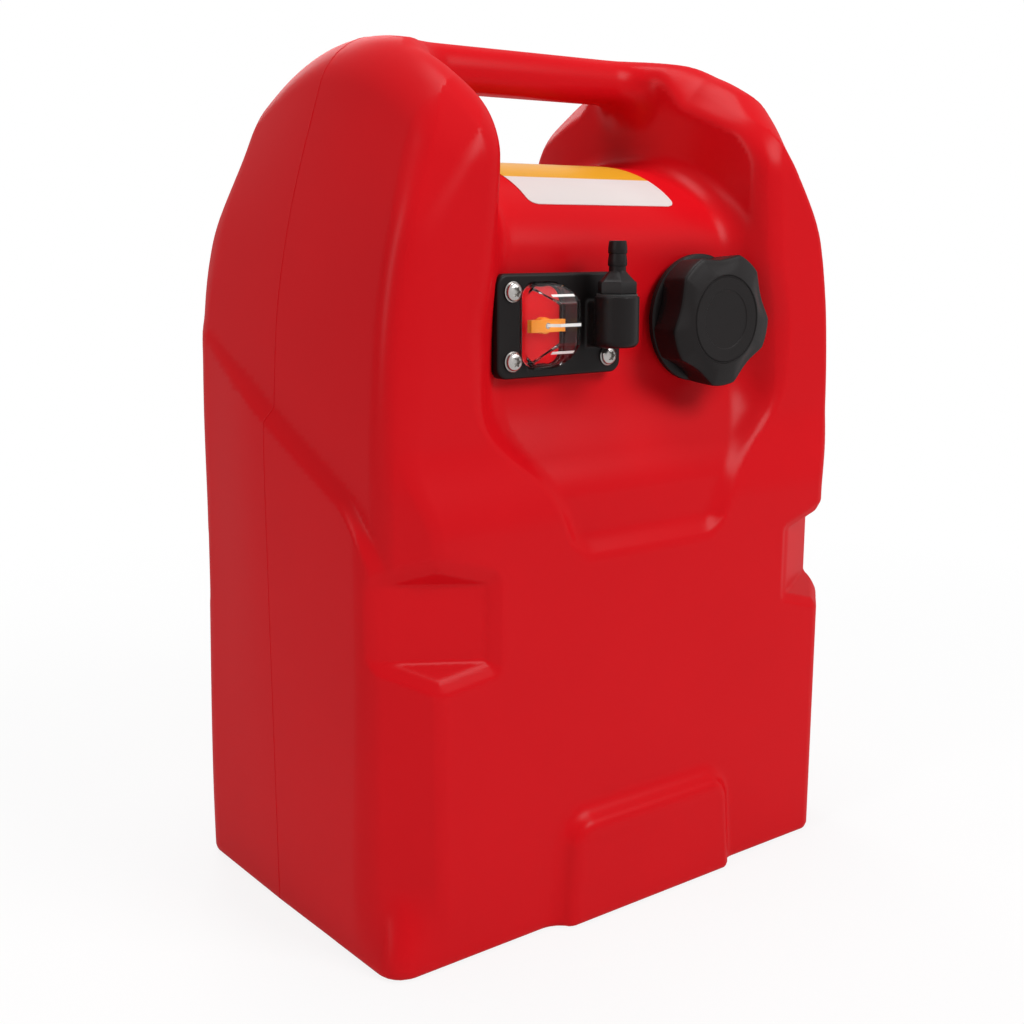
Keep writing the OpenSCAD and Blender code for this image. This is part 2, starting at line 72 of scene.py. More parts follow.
# Places that come from the frame
TANK_LOW, TANK_HIGH = node_box("tank_body")
CAP_LOW, CAP_HIGH = node_box("cap_cover")
PLATE_LOW, PLATE_HIGH = node_box("gauge_gasket")
BASE_LOW, BASE_HIGH = node_box("gauge_base")
LENS_LOW, LENS_HIGH = node_box("gauge_lens")
SCREW_LOW, SCREW_HIGH = node_box("gauge_screws")
WASHER_LOW, WASHER_HIGH = node_box("screw_washers")
FITTING_LOW, FITTING_HIGH = node_box("outlet_fitting")
SEAL_LOW, SEAL_HIGH = node_box("outlet_seal")
SLEEVE_LOW, SLEEVE_HIGH = node_box("cap_sleeve")
GASKET_LOW, GASKET_HIGH = node_box("cap_gasket")
LABEL_LOW, LABEL_HIGH = node_box("label")

HALF_W = TANK_HIGH[0]
HALF_D = TANK_HIGH[1]
TANK_H = TANK_HIGH[2]
PAD_FRONT = -TANK_LOW[1]
FACE_Y = PLATE_HIGH[1]
CAP_X = (CAP_LOW[0] + CAP_HIGH[0]) / 2
FITTINGS_Z = (CAP_LOW[2] + CAP_HIGH[2]) / 2
NECK_R = (GASKET_HIGH[0] - GASKET_LOW[0]) / 2
NECK_END = GASKET_HIGH[1]
PLATE_BACK = PLATE_LOW[1]
PLATE_FRONT = WASHER_HIGH[1]
PLATE_X = (PLATE_LOW[0] + PLATE_HIGH[0]) / 2
LENS_X = (LENS_LOW[0] + LENS_HIGH[0]) / 2
HOUSING_X = (SEAL_LOW[0] + SEAL_HIGH[0]) / 2
HOUSING_Y = (SEAL_LOW[1] + SEAL_HIGH[1]) / 2


class FuelTankSizes(bpy.types.PropertyGroup):
    """Sizes and colours of the finish that a user would change."""

    edge_round: bpy.props.FloatProperty(
        name="Edge rounding", description="Radius of the shell's upright edges",
        default=7 * MM, unit="LENGTH")
    foot_round: bpy.props.FloatProperty(
        name="Foot rounding", description="Radius along the bottom edges",
        default=4 * MM, unit="LENGTH")
    rim_bevel: bpy.props.FloatProperty(
        name="Rim bevel", description="Width of the bevel round the recess",
        default=6.4 * MM, unit="LENGTH")
    handle_blend: bpy.props.FloatProperty(
        name="Handle blend", description="Radius where the handle runs into the shoulders",
        default=20 * MM, unit="LENGTH")
    shell_cell: bpy.props.FloatProperty(
        name="Shell mesh size", description="Distance between the points of the shell's mesh",
        default=2.2 * MM, unit="LENGTH")
    lobe_depth: bpy.props.FloatProperty(
        name="Scallop depth", description="Depth of the scallops between the cap's lobes",
        default=4.2 * MM, unit="LENGTH")
    lobe_count: bpy.props.IntProperty(
        name="Cap lobes", description="Number of lobes round the cap", default=5, min=3)
    red: bpy.props.FloatVectorProperty(
        name="Shell colour", description="Colour of the moulded shell",
        default=(0.62, 0.0045, 0.009), size=3, subtype="COLOR")
    black: bpy.props.FloatVectorProperty(
        name="Fittings colour", description="Colour of the black mouldings",
        default=(0.008, 0.006, 0.006), size=3, subtype="COLOR")
    orange: bpy.props.FloatVectorProperty(
        name="Pointer colour", description="Colour of the gauge's pointer",
        default=(0.95, 0.3, 0.012), size=3, subtype="COLOR")
    yellow: bpy.props.FloatVectorProperty(
        name="Label strip colour", description="Colour of the strip at the back of the label",
        default=(0.71, 0.34, 0.015), size=3, subtype="COLOR")


# Field helpers

# Steps for slopes, as shares of a cell, the least slope squared that is divided by, and the grid's margin
PULL_STEP = 0.02
NORMAL_STEP = 0.1
LEAST_SLOPE = 0.05
GRID_MARGIN = 1.6


def rounded_max(a, b, r):
    """Both of two solids, with the edge between them rounded to radius r."""
    corner = np.hypot(np.maximum(a + r, 0), np.maximum(b + r, 0))
    return np.minimum(np.maximum(a, b), -r) + corner


def rounded_min(a, b, r):
    """Either of two solids, with the inner corner between them filled to radius r."""
    return -rounded_max(-a, -b, r)


def bevelled_max(a, b, width, r):
    """Both of two solids, with a flat bevel across the edge and its two lines rounded to radius r."""
    bevel = (a + b + width) * math.sqrt(0.5)
    return rounded_max(rounded_max(a, bevel, r), b, r)


def rounded_box(u, v, half_u, half_v, r):
    """Distance in a plane to a rectangle with round corners, about the origin."""
    qu = np.abs(u) - half_u + r
    qv = np.abs(v) - half_v + r
    outside = np.hypot(np.maximum(qu, 0), np.maximum(qv, 0))
    return outside + np.minimum(np.maximum(qu, qv), 0) - r


def smooth_steps(value, places, heights, spread):
    """A polyline through (place, height) points, averaged over a window so that its corners are round."""
    window = np.linspace(-spread, spread, 5)
    return sum(np.interp(value + d, places, heights) for d in window) / len(window)


def smooth_ramp(value, start, end):
    """0 before start and 1 after end, with a smooth run between."""
    t = np.clip((value - start) / (end - start), 0, 1)
    return t * t * (3 - 2 * t)


def gradient(field, points, step):
    """Slope of a field at points, from differences along each axis."""
    slopes = []
    for axis in range(3):
        shift = np.zeros(3)
        shift[axis] = step
        ahead = field(*(points + shift).T)
        behind = field(*(points - shift).T)
        slopes.append((ahead - behind) / (2 * step))
    return np.stack(slopes, axis=1)


def pull_to_surface(field, points, cell, rounds):
    """Moves points along the field's slope until the field is zero there."""
    for _ in range(rounds):
        value = field(*points.T)
        slope = gradient(field, points, PULL_STEP * cell)
        size = np.maximum((slope ** 2).sum(axis=1), LEAST_SLOPE)
        move = np.clip(value / size, -cell, cell)
        points = points - move[:, None] * slope
    return points


CUBE_CORNERS = [(i, j, k) for i in (0, 1) for j in (0, 1) for k in (0, 1)]
CUBE_EDGES = [(a, b) for a in CUBE_CORNERS for b in CUBE_CORNERS
              if a < b and sum(abs(p - q) for p, q in zip(a, b)) == 1]


def graded_axis(places, cells):
    """Grid places along one axis: each run between two of the places has its own cell size."""
    spans = zip(places, places[1:], cells)
    runs = [np.linspace(a, b, math.ceil((b - a) / c), endpoint=False) for a, b, c in spans]
    return np.concatenate([*runs, places[-1:]])


def even_axes(low, high, cell):
    """Three axes with one cell size, a little past both corners of a box."""
    margin = GRID_MARGIN * cell
    return [graded_axis([a - margin, b + margin], [cell]) for a, b in zip(low, high)]


def field_surface(field, axes, cell, relax=2):
    """Surface where a field is zero: one point in each grid cell that the surface crosses, at the mean of
    the crossings on the cell's edges, four such points to a face round each crossed grid edge, then each
    point evened out along the surface and pulled onto it. Returns points, quads and outward normals."""
    grid = np.meshgrid(*axes, indexing="ij")
    values = field(*grid).astype(np.float32)
    cells = np.array(values.shape) - 1
    total = np.zeros((*cells, 3), np.float32)
    hits = np.zeros(cells, np.int32)

    def corner(offset):
        return values[tuple(slice(o, o + n) for o, n in zip(offset, cells))]

    for a, b in CUBE_EDGES:
        va, vb = corner(a), corner(b)
        crossed = (va < 0) != (vb < 0)
        along = np.where(crossed, va / np.where(crossed, va - vb, 1), 0)
        for axis in range(3):
            total[..., axis] += np.where(crossed, a[axis] + (b[axis] - a[axis]) * along, 0)
        hits += crossed
    used = hits > 0
    index = np.full(cells, -1)
    index[used] = np.arange(used.sum())
    share = total[used] / hits[used][:, None]
    corners = np.argwhere(used).T
    points = np.stack([a[c] + (a[c + 1] - a[c]) * s for a, c, s in zip(axes, corners, share.T)], axis=1)
    quads = np.concatenate([edge_quads(values, index, axis) for axis in range(3)])
    points = pull_to_surface(field, points, cell, 4)
    for _ in range(relax):
        points = even_out(field, points, quads, cell)
    normals = gradient(field, points, NORMAL_STEP * cell)
    normals /= np.maximum(np.linalg.norm(normals, axis=1, keepdims=True), 1e-9)
    return points, quads, normals


def edge_quads(values, index, axis):
    """The faces round each grid edge along one axis whose ends lie on different sides of the surface."""
    second, third = (axis + 1) % 3, (axis + 2) % 3
    inside = np.moveaxis(values < 0, (axis, second, third), (0, 1, 2))
    number = np.moveaxis(index, (axis, second, third), (0, 1, 2))
    before, after = inside[:-1, 1:-1, 1:-1], inside[1:, 1:-1, 1:-1]
    around = [number[:, :-1, :-1], number[:, 1:, :-1], number[:, 1:, 1:], number[:, :-1, 1:]]
    leaving = np.stack([n[before & ~after] for n in around], axis=1)
    entering = np.stack([n[~before & after] for n in around[::-1]], axis=1)
    return np.concatenate([leaving, entering])


def even_out(field, points, quads, cell):
    """Moves each point half way to the mean of its neighbours, then back onto the surface."""
    count = np.zeros(len(points))
    total = np.zeros_like(points)
    for side in range(4):
        here, there = quads[:, side], quads[:, (side + 1) % 4]
        for a, b in ((here, there), (there, here)):
            count += np.bincount(a, minlength=len(points))
            for axis in range(3):
                total[:, axis] += np.bincount(a, weights=points[b, axis], minlength=len(points))
    mean = total / np.maximum(count, 1)[:, None]
    return pull_to_surface(field, points + 0.5 * (mean - points), cell, 2)


# Mesh helpers

SHARP_ANGLE = math.radians(38)


def new_object(name, data):
    """An object in the scene's own collection."""
    made = bpy.data.objects.new(name, data)
    bpy.context.scene.collection.objects.link(made)
    return made


def put_mesh(name, points, faces, body, slot, normals=None, material=None):
    """Makes an object from points in millimetres and arrays of faces, shaded smooth, in the finish of its
    slot unless another is given, and lets it ride on a body."""
    mesh = bpy.data.meshes.new(name)
    faces = [np.asarray(f) for f in (faces if isinstance(faces, list) else [faces])]
    corners = np.concatenate([f.ravel() for f in faces])
    sizes = np.concatenate([np.full(len(f), f.shape[1]) for f in faces])
    starts = np.concatenate([[0], np.cumsum(sizes)[:-1]])
    mesh.vertices.add(len(points))
    mesh.loops.add(len(corners))
    mesh.polygons.add(len(sizes))
    mesh.vertices.foreach_set("co", (np.asarray(points) * MM).astype(np.float32).ravel())
    mesh.loops.foreach_set("vertex_index", corners.astype(np.int32))
    mesh.polygons.foreach_set("loop_start", starts.astype(np.int32))
    mesh.polygons.foreach_set("use_smooth", np.ones(len(sizes), bool))
    mesh.update(calc_edges=True)
    mesh.validate()
    if normals is not None:
        mesh.normals_split_custom_set_from_vertices(normals)
    else:
        mesh.set_sharp_from_angle(angle=SHARP_ANGLE)
    piece = new_object(name, mesh)
    mesh.materials.append(material or finish_of(slot))
    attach(piece, body)
    return piece


def put_field(name, field, low, high, cell, body, slot, material=None):
    """Makes an object from the surface where a field is zero, within a box."""
    points, quads, normals = field_surface(field, even_axes(low, high, cell), cell)
    return put_mesh(name, points, quads, body, slot, normals, material)


def ring_faces(rows, around, closed_row=False):
    """Quads of a grid of rows points along by around points round, joined into tubes."""
    r = np.arange(rows if closed_row else rows - 1)[:, None]
    a = np.arange(around)[None, :]
    nxt_r, nxt_a = (r + 1) % rows, (a + 1) % around
    quads = [r * around + a, r * around + nxt_a, nxt_r * around + nxt_a, nxt_r * around + a]
    return np.stack([q.ravel() for q in np.broadcast_arrays(*quads)], axis=1)


def round_angles(count):
    """Even angles round a circle, as one row."""
    return np.linspace(0, 2 * math.pi, count, endpoint=False)[None, :]


def turned(radii, heights, angles, closed=False):
    """A turned form: radii[s, t] and heights[s, t] for each row s and angle t, round the second axis
    outwards, so that height grows towards the front. The ends are closed with a single point each, or the
    last row is joined to the first one."""
    x = radii * np.cos(angles)
    z = radii * np.sin(angles)
    points = np.stack([x, -np.broadcast_to(heights, x.shape), z], axis=2)
    rows, around = x.shape
    flat = points.reshape(-1, 3)
    if closed:
        return flat, [ring_faces(rows, around, closed_row=True)]
    faces = [ring_faces(rows, around)]
    spin = np.arange(around)
    for row, flip in ((0, True), (rows - 1, False)):
        middle = points[row].mean(axis=0)
        flat = np.vstack([flat, middle])
        ends = [row * around + spin, row * around + (spin + 1) % around]
        ends = ends[::-1] if flip else ends
        faces.append(np.stack([*ends, np.full(around, len(flat) - 1)], axis=1))
    return flat, faces


def profile_rows(profile, around):
    """A list of (radius, height) points as columns that broadcast over the angles."""
    table = np.array(profile, float)
    ones = np.ones((1, around))
    return table[:, :1] * ones, table[:, 1:] * ones


def joined(parts):
    """Several (points, faces) forms as one."""
    points, faces, base = [], [], 0
    for p, fs in parts:
        points.append(p)
        faces += [np.asarray(f) + base for f in fs]
        base += len(p)
    return np.vstack(points), faces


# Shader helpers

def new_group(name, inputs, outputs):
    """An empty shader node group with named sockets. Returns the tree and its two end nodes."""
    tree = bpy.data.node_groups.new(name, "ShaderNodeTree")
    for label, kind, value in inputs:
        socket = tree.interface.new_socket(label, in_out="INPUT", socket_type=kind)
        if value is not None:
            socket.default_value = value
    for label, kind in outputs:
        tree.interface.new_socket(label, in_out="OUTPUT", socket_type=kind)
    return tree, tree.nodes.new("NodeGroupInput"), tree.nodes.new("NodeGroupOutput")


def add_node(tree, kind, links=None, **settings):
    """A node with settings by name, and links given as {input: socket or value}."""
    node = tree.nodes.new(kind)
    for key, value in settings.items():
        setattr(node, key, value)
    for key, value in (links or {}).items():
        if isinstance(value, bpy.types.NodeSocket):
            tree.links.new(value, node.inputs[key])
        else:
            node.inputs[key].default_value = value
    return node


def object_place(tree):
    """Object coordinates."""
    return add_node(tree, "ShaderNodeTexCoord").outputs["Object"]


def maths(tree, operation, *values):
    """The result of a Math node."""
    return add_node(tree, "ShaderNodeMath", dict(enumerate(values)), operation=operation).outputs[0]


def remap(tree, value, before, after):
    """A value carried from one range to another, and held at its ends."""
    links = dict(enumerate((value, *before, *after)))
    return add_node(tree, "ShaderNodeMapRange", links).outputs[0]


def blended(tree, share, first, second):
    """A colour between two others."""
    return add_node(tree, "ShaderNodeMix", {0: share, 6: first, 7: second}, data_type="RGBA").outputs[2]


def noise(tree, vector, scale, detail, **links):
    """The grey of a noise texture."""
    links = {"Vector": vector, "Scale": scale, "Detail": detail, **links}
    return add_node(tree, "ShaderNodeTexNoise", links).outputs[0]


# Coarse grain's scale and weight beside the fine one, and the shape and threshold of the scuffs
COARSE_SHARE = 0.22
COARSE_WEIGHT = 0.6
SCRATCH_STRETCH = (9.0, 9.0, 1.6)
SCUFF_RANGE = (0.66, 0.8)


def grain_group():
    """Moulded grain: two sizes of noise as a height, a slow drift as a mask for colour and gloss, and rare
    long scuffs as a mask for gloss."""
    tree, start, end = new_group(
        "moulded_grain",
        [("Vector", "NodeSocketVector", None), ("Grain", "NodeSocketFloat", 2500.0),
         ("Drift", "NodeSocketFloat", 14.0)],
        [("Height", "NodeSocketFloat"), ("Drift", "NodeSocketFloat"), ("Scuff", "NodeSocketFloat")])
    vector, size = start.outputs["Vector"], start.outputs["Grain"]
    fine = noise(tree, vector, size, 2.0)
    coarse = noise(tree, vector, maths(tree, "MULTIPLY", size, COARSE_SHARE), 3.0)
    height = maths(tree, "MULTIPLY_ADD", coarse, COARSE_WEIGHT, fine)
    slow = noise(tree, vector, start.outputs["Drift"], 4.0)
    stretched = add_node(tree, "ShaderNodeMapping", {"Vector": vector, "Scale": SCRATCH_STRETCH})
    scratch = noise(tree, stretched.outputs[0], 30.0, 6.0, Roughness=0.7)
    scuff = remap(tree, scratch, SCUFF_RANGE, (0.0, 1.0))
    for label, value in (("Height", height), ("Drift", slow), ("Scuff", scuff)):
        tree.links.new(value, end.inputs[label])
    return tree


GROUPS = {}


def grain():
    """The shared grain group, made once."""
    if "grain" not in GROUPS:
        GROUPS["grain"] = grain_group()
    return GROUPS["grain"]


def start_material(name, **constants):
    """A material with a Principled shader, its constants set on the shader's own sockets."""
    material = bpy.data.materials.new(name)
    material.use_nodes = True
    shader = material.node_tree.nodes["Principled BSDF"]
    for key, value in constants.items():
        shader.inputs[key.replace("_", " ")].default_value = value
    return material, material.node_tree, shader


def grain_masks(tree, grain_size):
    """The grain group's outputs in a material, on Object coordinates and with the material's own grain."""
    links = {"Vector": object_place(tree), "Grain": grain_size}
    return add_node(tree, "ShaderNodeGroup", links, node_tree=grain()).outputs


GLOSS_DRIFT = 0.1


def grained(name, colour, roughness, grain_size, bump, drift=0.06, scuff=0.06, **constants):
    """A moulded or cast finish: colour and gloss drift slowly about their mean, scuffs are duller, and fine
    grain bumps the surface."""
    material, tree, shader = start_material(name, **constants)
    masks = grain_masks(tree, grain_size)
    dark = [c * (1 - drift) for c in colour] + [1]
    light = [min(c * (1 + drift) + 0.0005, 1) for c in colour] + [1]
    tree.links.new(blended(tree, masks["Drift"], dark, light), shader.inputs["Base Color"])
    dull = maths(tree, "MULTIPLY_ADD", masks["Drift"], GLOSS_DRIFT, roughness - GLOSS_DRIFT / 2)
    worn = maths(tree, "MULTIPLY_ADD", masks["Scuff"], scuff, dull)
    tree.links.new(worn, shader.inputs["Roughness"])
    raised = add_node(tree, "ShaderNodeBump",
                      {"Strength": 1.0, "Distance": bump * MM, "Height": masks["Height"]})
    tree.links.new(raised.outputs[0], shader.inputs["Normal"])
    return material


def red_shell(look):
    """Red polyethylene: no sharp gloss of its own, and a thin satin sheen."""
    return grained("red_shell", look.red, 0.4, 1500.0, 0.05, drift=0.04, scuff=0.06,
                   Specular_IOR_Level=0.0, Coat_Weight=0.18, Coat_Roughness=0.3)


def black_plastic(look):
    """Black moulding with a fine grain."""
    return grained("black_plastic", look.black, 0.4, 1900.0, 0.05, drift=0.2, Specular_IOR_Level=0.14)


FINISHES = {
    "rubber": dict(colour=(0.018, 0.018, 0.018), roughness=0.7, grain_size=1200.0, bump=0.05),
    "brass": dict(colour=(0.66, 0.42, 0.13), roughness=0.32, grain_size=900.0, bump=0.01, Metallic=1.0),
    "steel": dict(colour=(0.42, 0.4, 0.385), roughness=0.28, grain_size=1400.0, bump=0.006, Metallic=1.0),
    "float_foam": dict(colour=(0.17, 0.075, 0.03), roughness=0.8, grain_size=700.0, bump=0.3, drift=0.25),
    "tube_plastic": dict(colour=(0.72, 0.68, 0.58), roughness=0.45, grain_size=500.0, bump=0.02),
    "filter_felt": dict(colour=(0.7, 0.7, 0.67), roughness=0.95, grain_size=900.0, bump=0.25, drift=0.15),
}
MADE = {}


def finish_of(slot):
    """The material of a record slot, made once."""
    look = bpy.context.scene.fuel_tank
    if slot not in MADE:
        makers = {"red_shell": red_shell, "black_plastic": black_plastic, "orange_plastic": orange_plastic,
                  "label_film": label_film, "clear_dome": clear_dome}
        MADE[slot] = makers[slot](look) if slot in makers else grained(slot, **FINISHES[slot])
    return MADE[slot]


def orange_plastic(look):
    """Glossy orange moulding."""
    return grained("orange_plastic", look.orange, 0.3, 900.0, 0.01, drift=0.05)


def clear_dome(look):
    """Clear moulded plastic, a little smeared; it takes the look as the other makers do, but does not use
    it.
    """
    material, tree, shader = start_material(
        "clear_dome", Transmission_Weight=1.0, IOR=1.2, Base_Color=(0.98, 0.985, 0.985, 1))
    smear = remap(tree, noise(tree, object_place(tree), 160.0, 3.0), (0.4, 0.8), (0.02, 0.07))
    tree.links.new(smear, shader.inputs["Roughness"])
    return material


def dial_red_painted_glow(look):
    """Bright red sheet behind the pointer, in the shell's red, with a faint painted glow from its emission
    that stands in for light shining in through the red shell.
    """
    # Emission here is a painted glow, standing in for light that shines in through the red shell
    return grained("dial_red_painted_glow", look.red, 0.5, 900.0, 0.01, drift=0.1, Specular_IOR_Level=0.1,
                   Emission_Color=(0.5, 0.003, 0.004, 1), Emission_Strength=0.18)


def mark_print():
    """White print, a little worn."""
    return grained("mark_print", (0.85, 0.84, 0.82), 0.45, 900.0, 0.01, drift=0.08)


def label_film(look):
    """Printed film: white at the front and a yellow strip at the back, parted at one depth."""
    material, tree, shader = start_material("label_film", Specular_IOR_Level=0.15)
    depth = add_node(tree, "ShaderNodeSeparateXYZ", {0: object_place(tree)}).outputs["Y"]
    edge = [(LABEL_SPLIT + side * LABEL_BLUR) * MM for side in (-1, 1)]
    strip = remap(tree, depth, edge, (0.0, 1.0))
    masks = grain_masks(tree, 600.0)
    paper = blended(tree, masks["Drift"], (0.65, 0.585, 0.57, 1), (0.72, 0.665, 0.65, 1))
    tree.links.new(blended(tree, strip, paper, (*look.yellow, 1)), shader.inputs["Base Color"])
    gloss = remap(tree, masks["Drift"], (0.3, 0.7), (0.32, 0.44))
    tree.links.new(gloss, shader.inputs["Roughness"])
    return material


# Shell

# Runs are the heights or depths over which a change comes in
# Shoulder line: height and slope at the parting plane, and its turn down at the front
SHOULDER_MID_Z = 265.6
SHOULDER_SLOPE = 0.456
SHOULDER_FRONT = 97
SHOULDER_TURN_R = 30
FRONT_END_SHIFT = 40
FRONT_END_RUN = (150, 190)
# Step of front and back above the shoulder
FRONT_TURN_Z = 216
BACK_TURN_Z = 289
TURN_LEAD = 6
FRONT_RISE = 40
BACK_RISE = 24
FRONT_STEP = 8
UPPER_HALF_D = HALF_D - FRONT_STEP
# Step of the sides at the shoulder line, which fades towards the back
SIDE_STEP = 6
STEP_RUN = (-1, 7)
STEP_FADE = 0.75
STEP_FADE_Y = (10, 90)
STEP_FADE_Z = (20, 220)
SIDE_DRAFT = 2
# Width and depth of the sloping corner faces at the front left, at the front right and at the back
CORNER_W = (29, 29, 31)
CORNER_D = (26, 26, 27)
CORNER_NARROWING = 6
NARROWING_RUN = (10, 170)
UPPER_CORNER_W = (14, 12, 10)
UPPER_CORNER_D = (6, 18, 16)
UPPER_CORNER_LEAD = 11
UPPER_CORNER_RISE = (79, 51)
TOP_CORNER_GROWTH = 8
GROWTH_RUN = (345, 400)
# Radius of the edges of front and back as a share of the upright edges' radius
FRONT_EDGE_SHARE = 0.4
TOE_R = 14
TOE_H = 45
CROWN_FALL = 15
CROWN_AT = 65
CROWN_R = 24
CROWN_RUN = (330, 430)
# Half width of the arch on the parting plane, by height, and a share for its leaning upper sides
ARCH_Z = [0, 230, 262, 303, 323, 354, 375, 389, 410, TANK_H]
ARCH_HALF_W = [157, 157, 156.5, 154, 151.5, 145.5, 140, 135.8, 129, 117]
ARCH_SPREAD = 12
LEAN_Z = (300, 340)
LEAN_SHARE = (1, 0.965)
# Saddle under the handle, with a ledge and a tongue in front and a ledge behind
RECESS_HALF_D = -FACE_Y
SADDLE_EDGE_Z = 340
SADDLE_CROWN = 48
SADDLE_BLEND = 20
LEDGE_Z = 254
LEDGE_FALL = 25
LEDGE_R = 8
REAR_LEDGE_Z = 326
REAR_LEDGE_FROM = 60
TONGUE_D = 5
TONGUE_LOW_Z = 195
TONGUE_R = 4
HANDLE_H = 24
HANDLE_HALF_W = 13
HANDLE_R = 9
# Strap notches: heights of sill and head at the floor, edge radius and bevel
NOTCH_Z = (150, 187.5)
NOTCH_R = 1
NOTCH_BEVEL = 3.2
NOTCH_BEVEL_R = 0.7
# Two points of a notch's flat floor, across and in depth, and the slopes of its sill and head, by corner
NOTCH_ENDS = (((99.4, HALF_D - 3.5), (153.5, HALF_D - 17)), ((103, HALF_D), (HALF_W, HALF_D - 36)),
              ((101, HALF_D), (HALF_W, HALF_D - 29)))
SILL_SLOPE = (0.92, 0.54, 0.9)
HEAD_SLOPE = (0.96, 0.66, 1.1)
# How much each notch climbs from its inner end at NOTCH_END_X towards the side
NOTCH_CLIMB = (0.1, 0, 0)
NOTCH_END_X = 103
# Foot pad, with the direction of its sloping edge
PAD_HALF_W = 63
PAD_H = 60
PAD_TAPER = 0.08
PAD_CORNER_R = 17
PAD_SLOPE = (0.8, 0.6)
PAD_EDGE_R = 3
PAD_FOOT_R = 4
PAD_ROOT = 20
# Openings behind the fittings
OPENING_DEPTH = 22
NECK_WALL = 4
WINDOW_SHIFT = 5
WINDOW_HALF = (18, 20)
WINDOW_R = 5
LABEL_SPLIT = -50
LABEL_BLUR = 0.3
# Half width of the space between the shoulders, by height, at the rim and deep inside
RIM_Z = [195, 210, 224, 232, 240, 250, 259, 270, 306, 333, 357, 377, TANK_H]
RIM_HALF_W = [52, 58, 65, 71, 78, 89, 97, 100, 98, 91, 89, 87, 86]
INNER_Z = [195, 229, 272, 317, TANK_H]
INNER_HALF_W = [52, 66, 82, 78, 77]
RIM_SPREAD = 5
INNER_SPREAD = 14
FLARE_FROM = 45
FLARE_LIMIT = 1.2
WALL_LEAN = 0.97
WALL_FOOT_R = 13
# Bevel round the recess, which grows with height, and its extra width and radius on the humps
RIM_RUN = (235, 300)
RIM_LOW_BEVEL = 1.5
RIM_R = (1.5, 3.5)
HUMP_RUNS = ((385, 425), (62, 85), (22, 48))
HUMP_BEVEL = 12
HUMP_R = 5


def plane_through(first, second):
    """Unit normal and offset of the plane through two points of (across, depth), facing outwards."""
    across, depth = second[0] - first[0], second[1] - first[1]
    length = math.hypot(across, depth)
    normal = (-depth / length, across / length)
    return normal, normal[0] * first[0] + normal[1] * first[1]


def by_corner(x, y, front_left, front_right, back):
    """One of three values, by the upright corner that a point belongs to."""
    return np.where(y > 0, back, np.where(x < 0, front_left, front_right))


def slope_across(side, front, wide, deep):
    """Distance from the sloping face that takes a width and a depth off the edge of side and front."""
    return (deep * side + wide * (front + deep)) / np.hypot(wide, deep)


def outer_form(x, y, z, look):
    """The closed outside: an arch seen from the front, wider under a shoulder line that rises to the back
    and turns down at the front, a front and back that step in above the shoulder, a sloping face across
    each upright corner that narrows towards the top and ends in a fuller toe at the front left, and a
    crowned top."""
    ax, ay = np.abs(x), np.abs(y)
    at_front = y < 0
    front_left = (x < 0) & at_front
    turn = np.where(at_front, FRONT_TURN_Z, BACK_TURN_Z)
    rise = smooth_ramp(z, turn - TURN_LEAD, turn + np.where(at_front, FRONT_RISE, BACK_RISE))
    front = ay - HALF_D + FRONT_STEP * rise
    fall = CROWN_FALL * (y / CROWN_AT) ** 2
    half = smooth_steps(z + fall * smooth_ramp(z, *CROWN_RUN), ARCH_Z, ARCH_HALF_W, ARCH_SPREAD)
    wide_side = ax + SIDE_DRAFT * np.maximum(-y, 0) / HALF_D
    arch = (wide_side - half) * np.interp(z, LEAN_Z, LEAN_SHARE)
    shoulder = (z - SHOULDER_MID_Z - SHOULDER_SLOPE * y) / math.hypot(1, SHOULDER_SLOPE)
    front_end = SHOULDER_FRONT + FRONT_END_SHIFT * (1 - smooth_ramp(z, *FRONT_END_RUN))
    outline = rounded_max(shoulder, -y - front_end, SHOULDER_TURN_R)
    step = SIDE_STEP * (1 - STEP_FADE * smooth_ramp(y, *STEP_FADE_Y) * smooth_ramp(z, *STEP_FADE_Z))
    stepped = arch - step * smooth_ramp(-outline, *STEP_RUN)
    wide = by_corner(x, y, *CORNER_W)
    deep = by_corner(x, y, *CORNER_D) - CORNER_NARROWING * smooth_ramp(z, *NARROWING_RUN) * front_left
    lower = slope_across(wide_side - HALF_W + SIDE_STEP - step, ay - HALF_D, wide, deep)
    growth = TOP_CORNER_GROWTH * smooth_ramp(z, *GROWTH_RUN)
    upper = slope_across(arch, front, by_corner(x, y, *UPPER_CORNER_W) + growth,
                         by_corner(x, y, *UPPER_CORNER_D) + growth)
    above = smooth_ramp(z, turn - UPPER_CORNER_LEAD, turn + np.where(at_front, *UPPER_CORNER_RISE))
    corner = lower + (upper - lower) * above
    r = look.edge_round / MM
    body = rounded_max(rounded_max(stepped, corner, r), front, FRONT_EDGE_SHARE * r)
    toe = (1 - smooth_ramp(z, 0, TOE_H)) * front_left
    body = body + (rounded_max(stepped, front, TOE_R) - body) * toe
    bend = 2 * CROWN_FALL / CROWN_AT ** 2
    crown = (z - TANK_H + fall) / np.sqrt(1 + (bend * y) ** 2)
    return rounded_max(body, crown, CROWN_R)


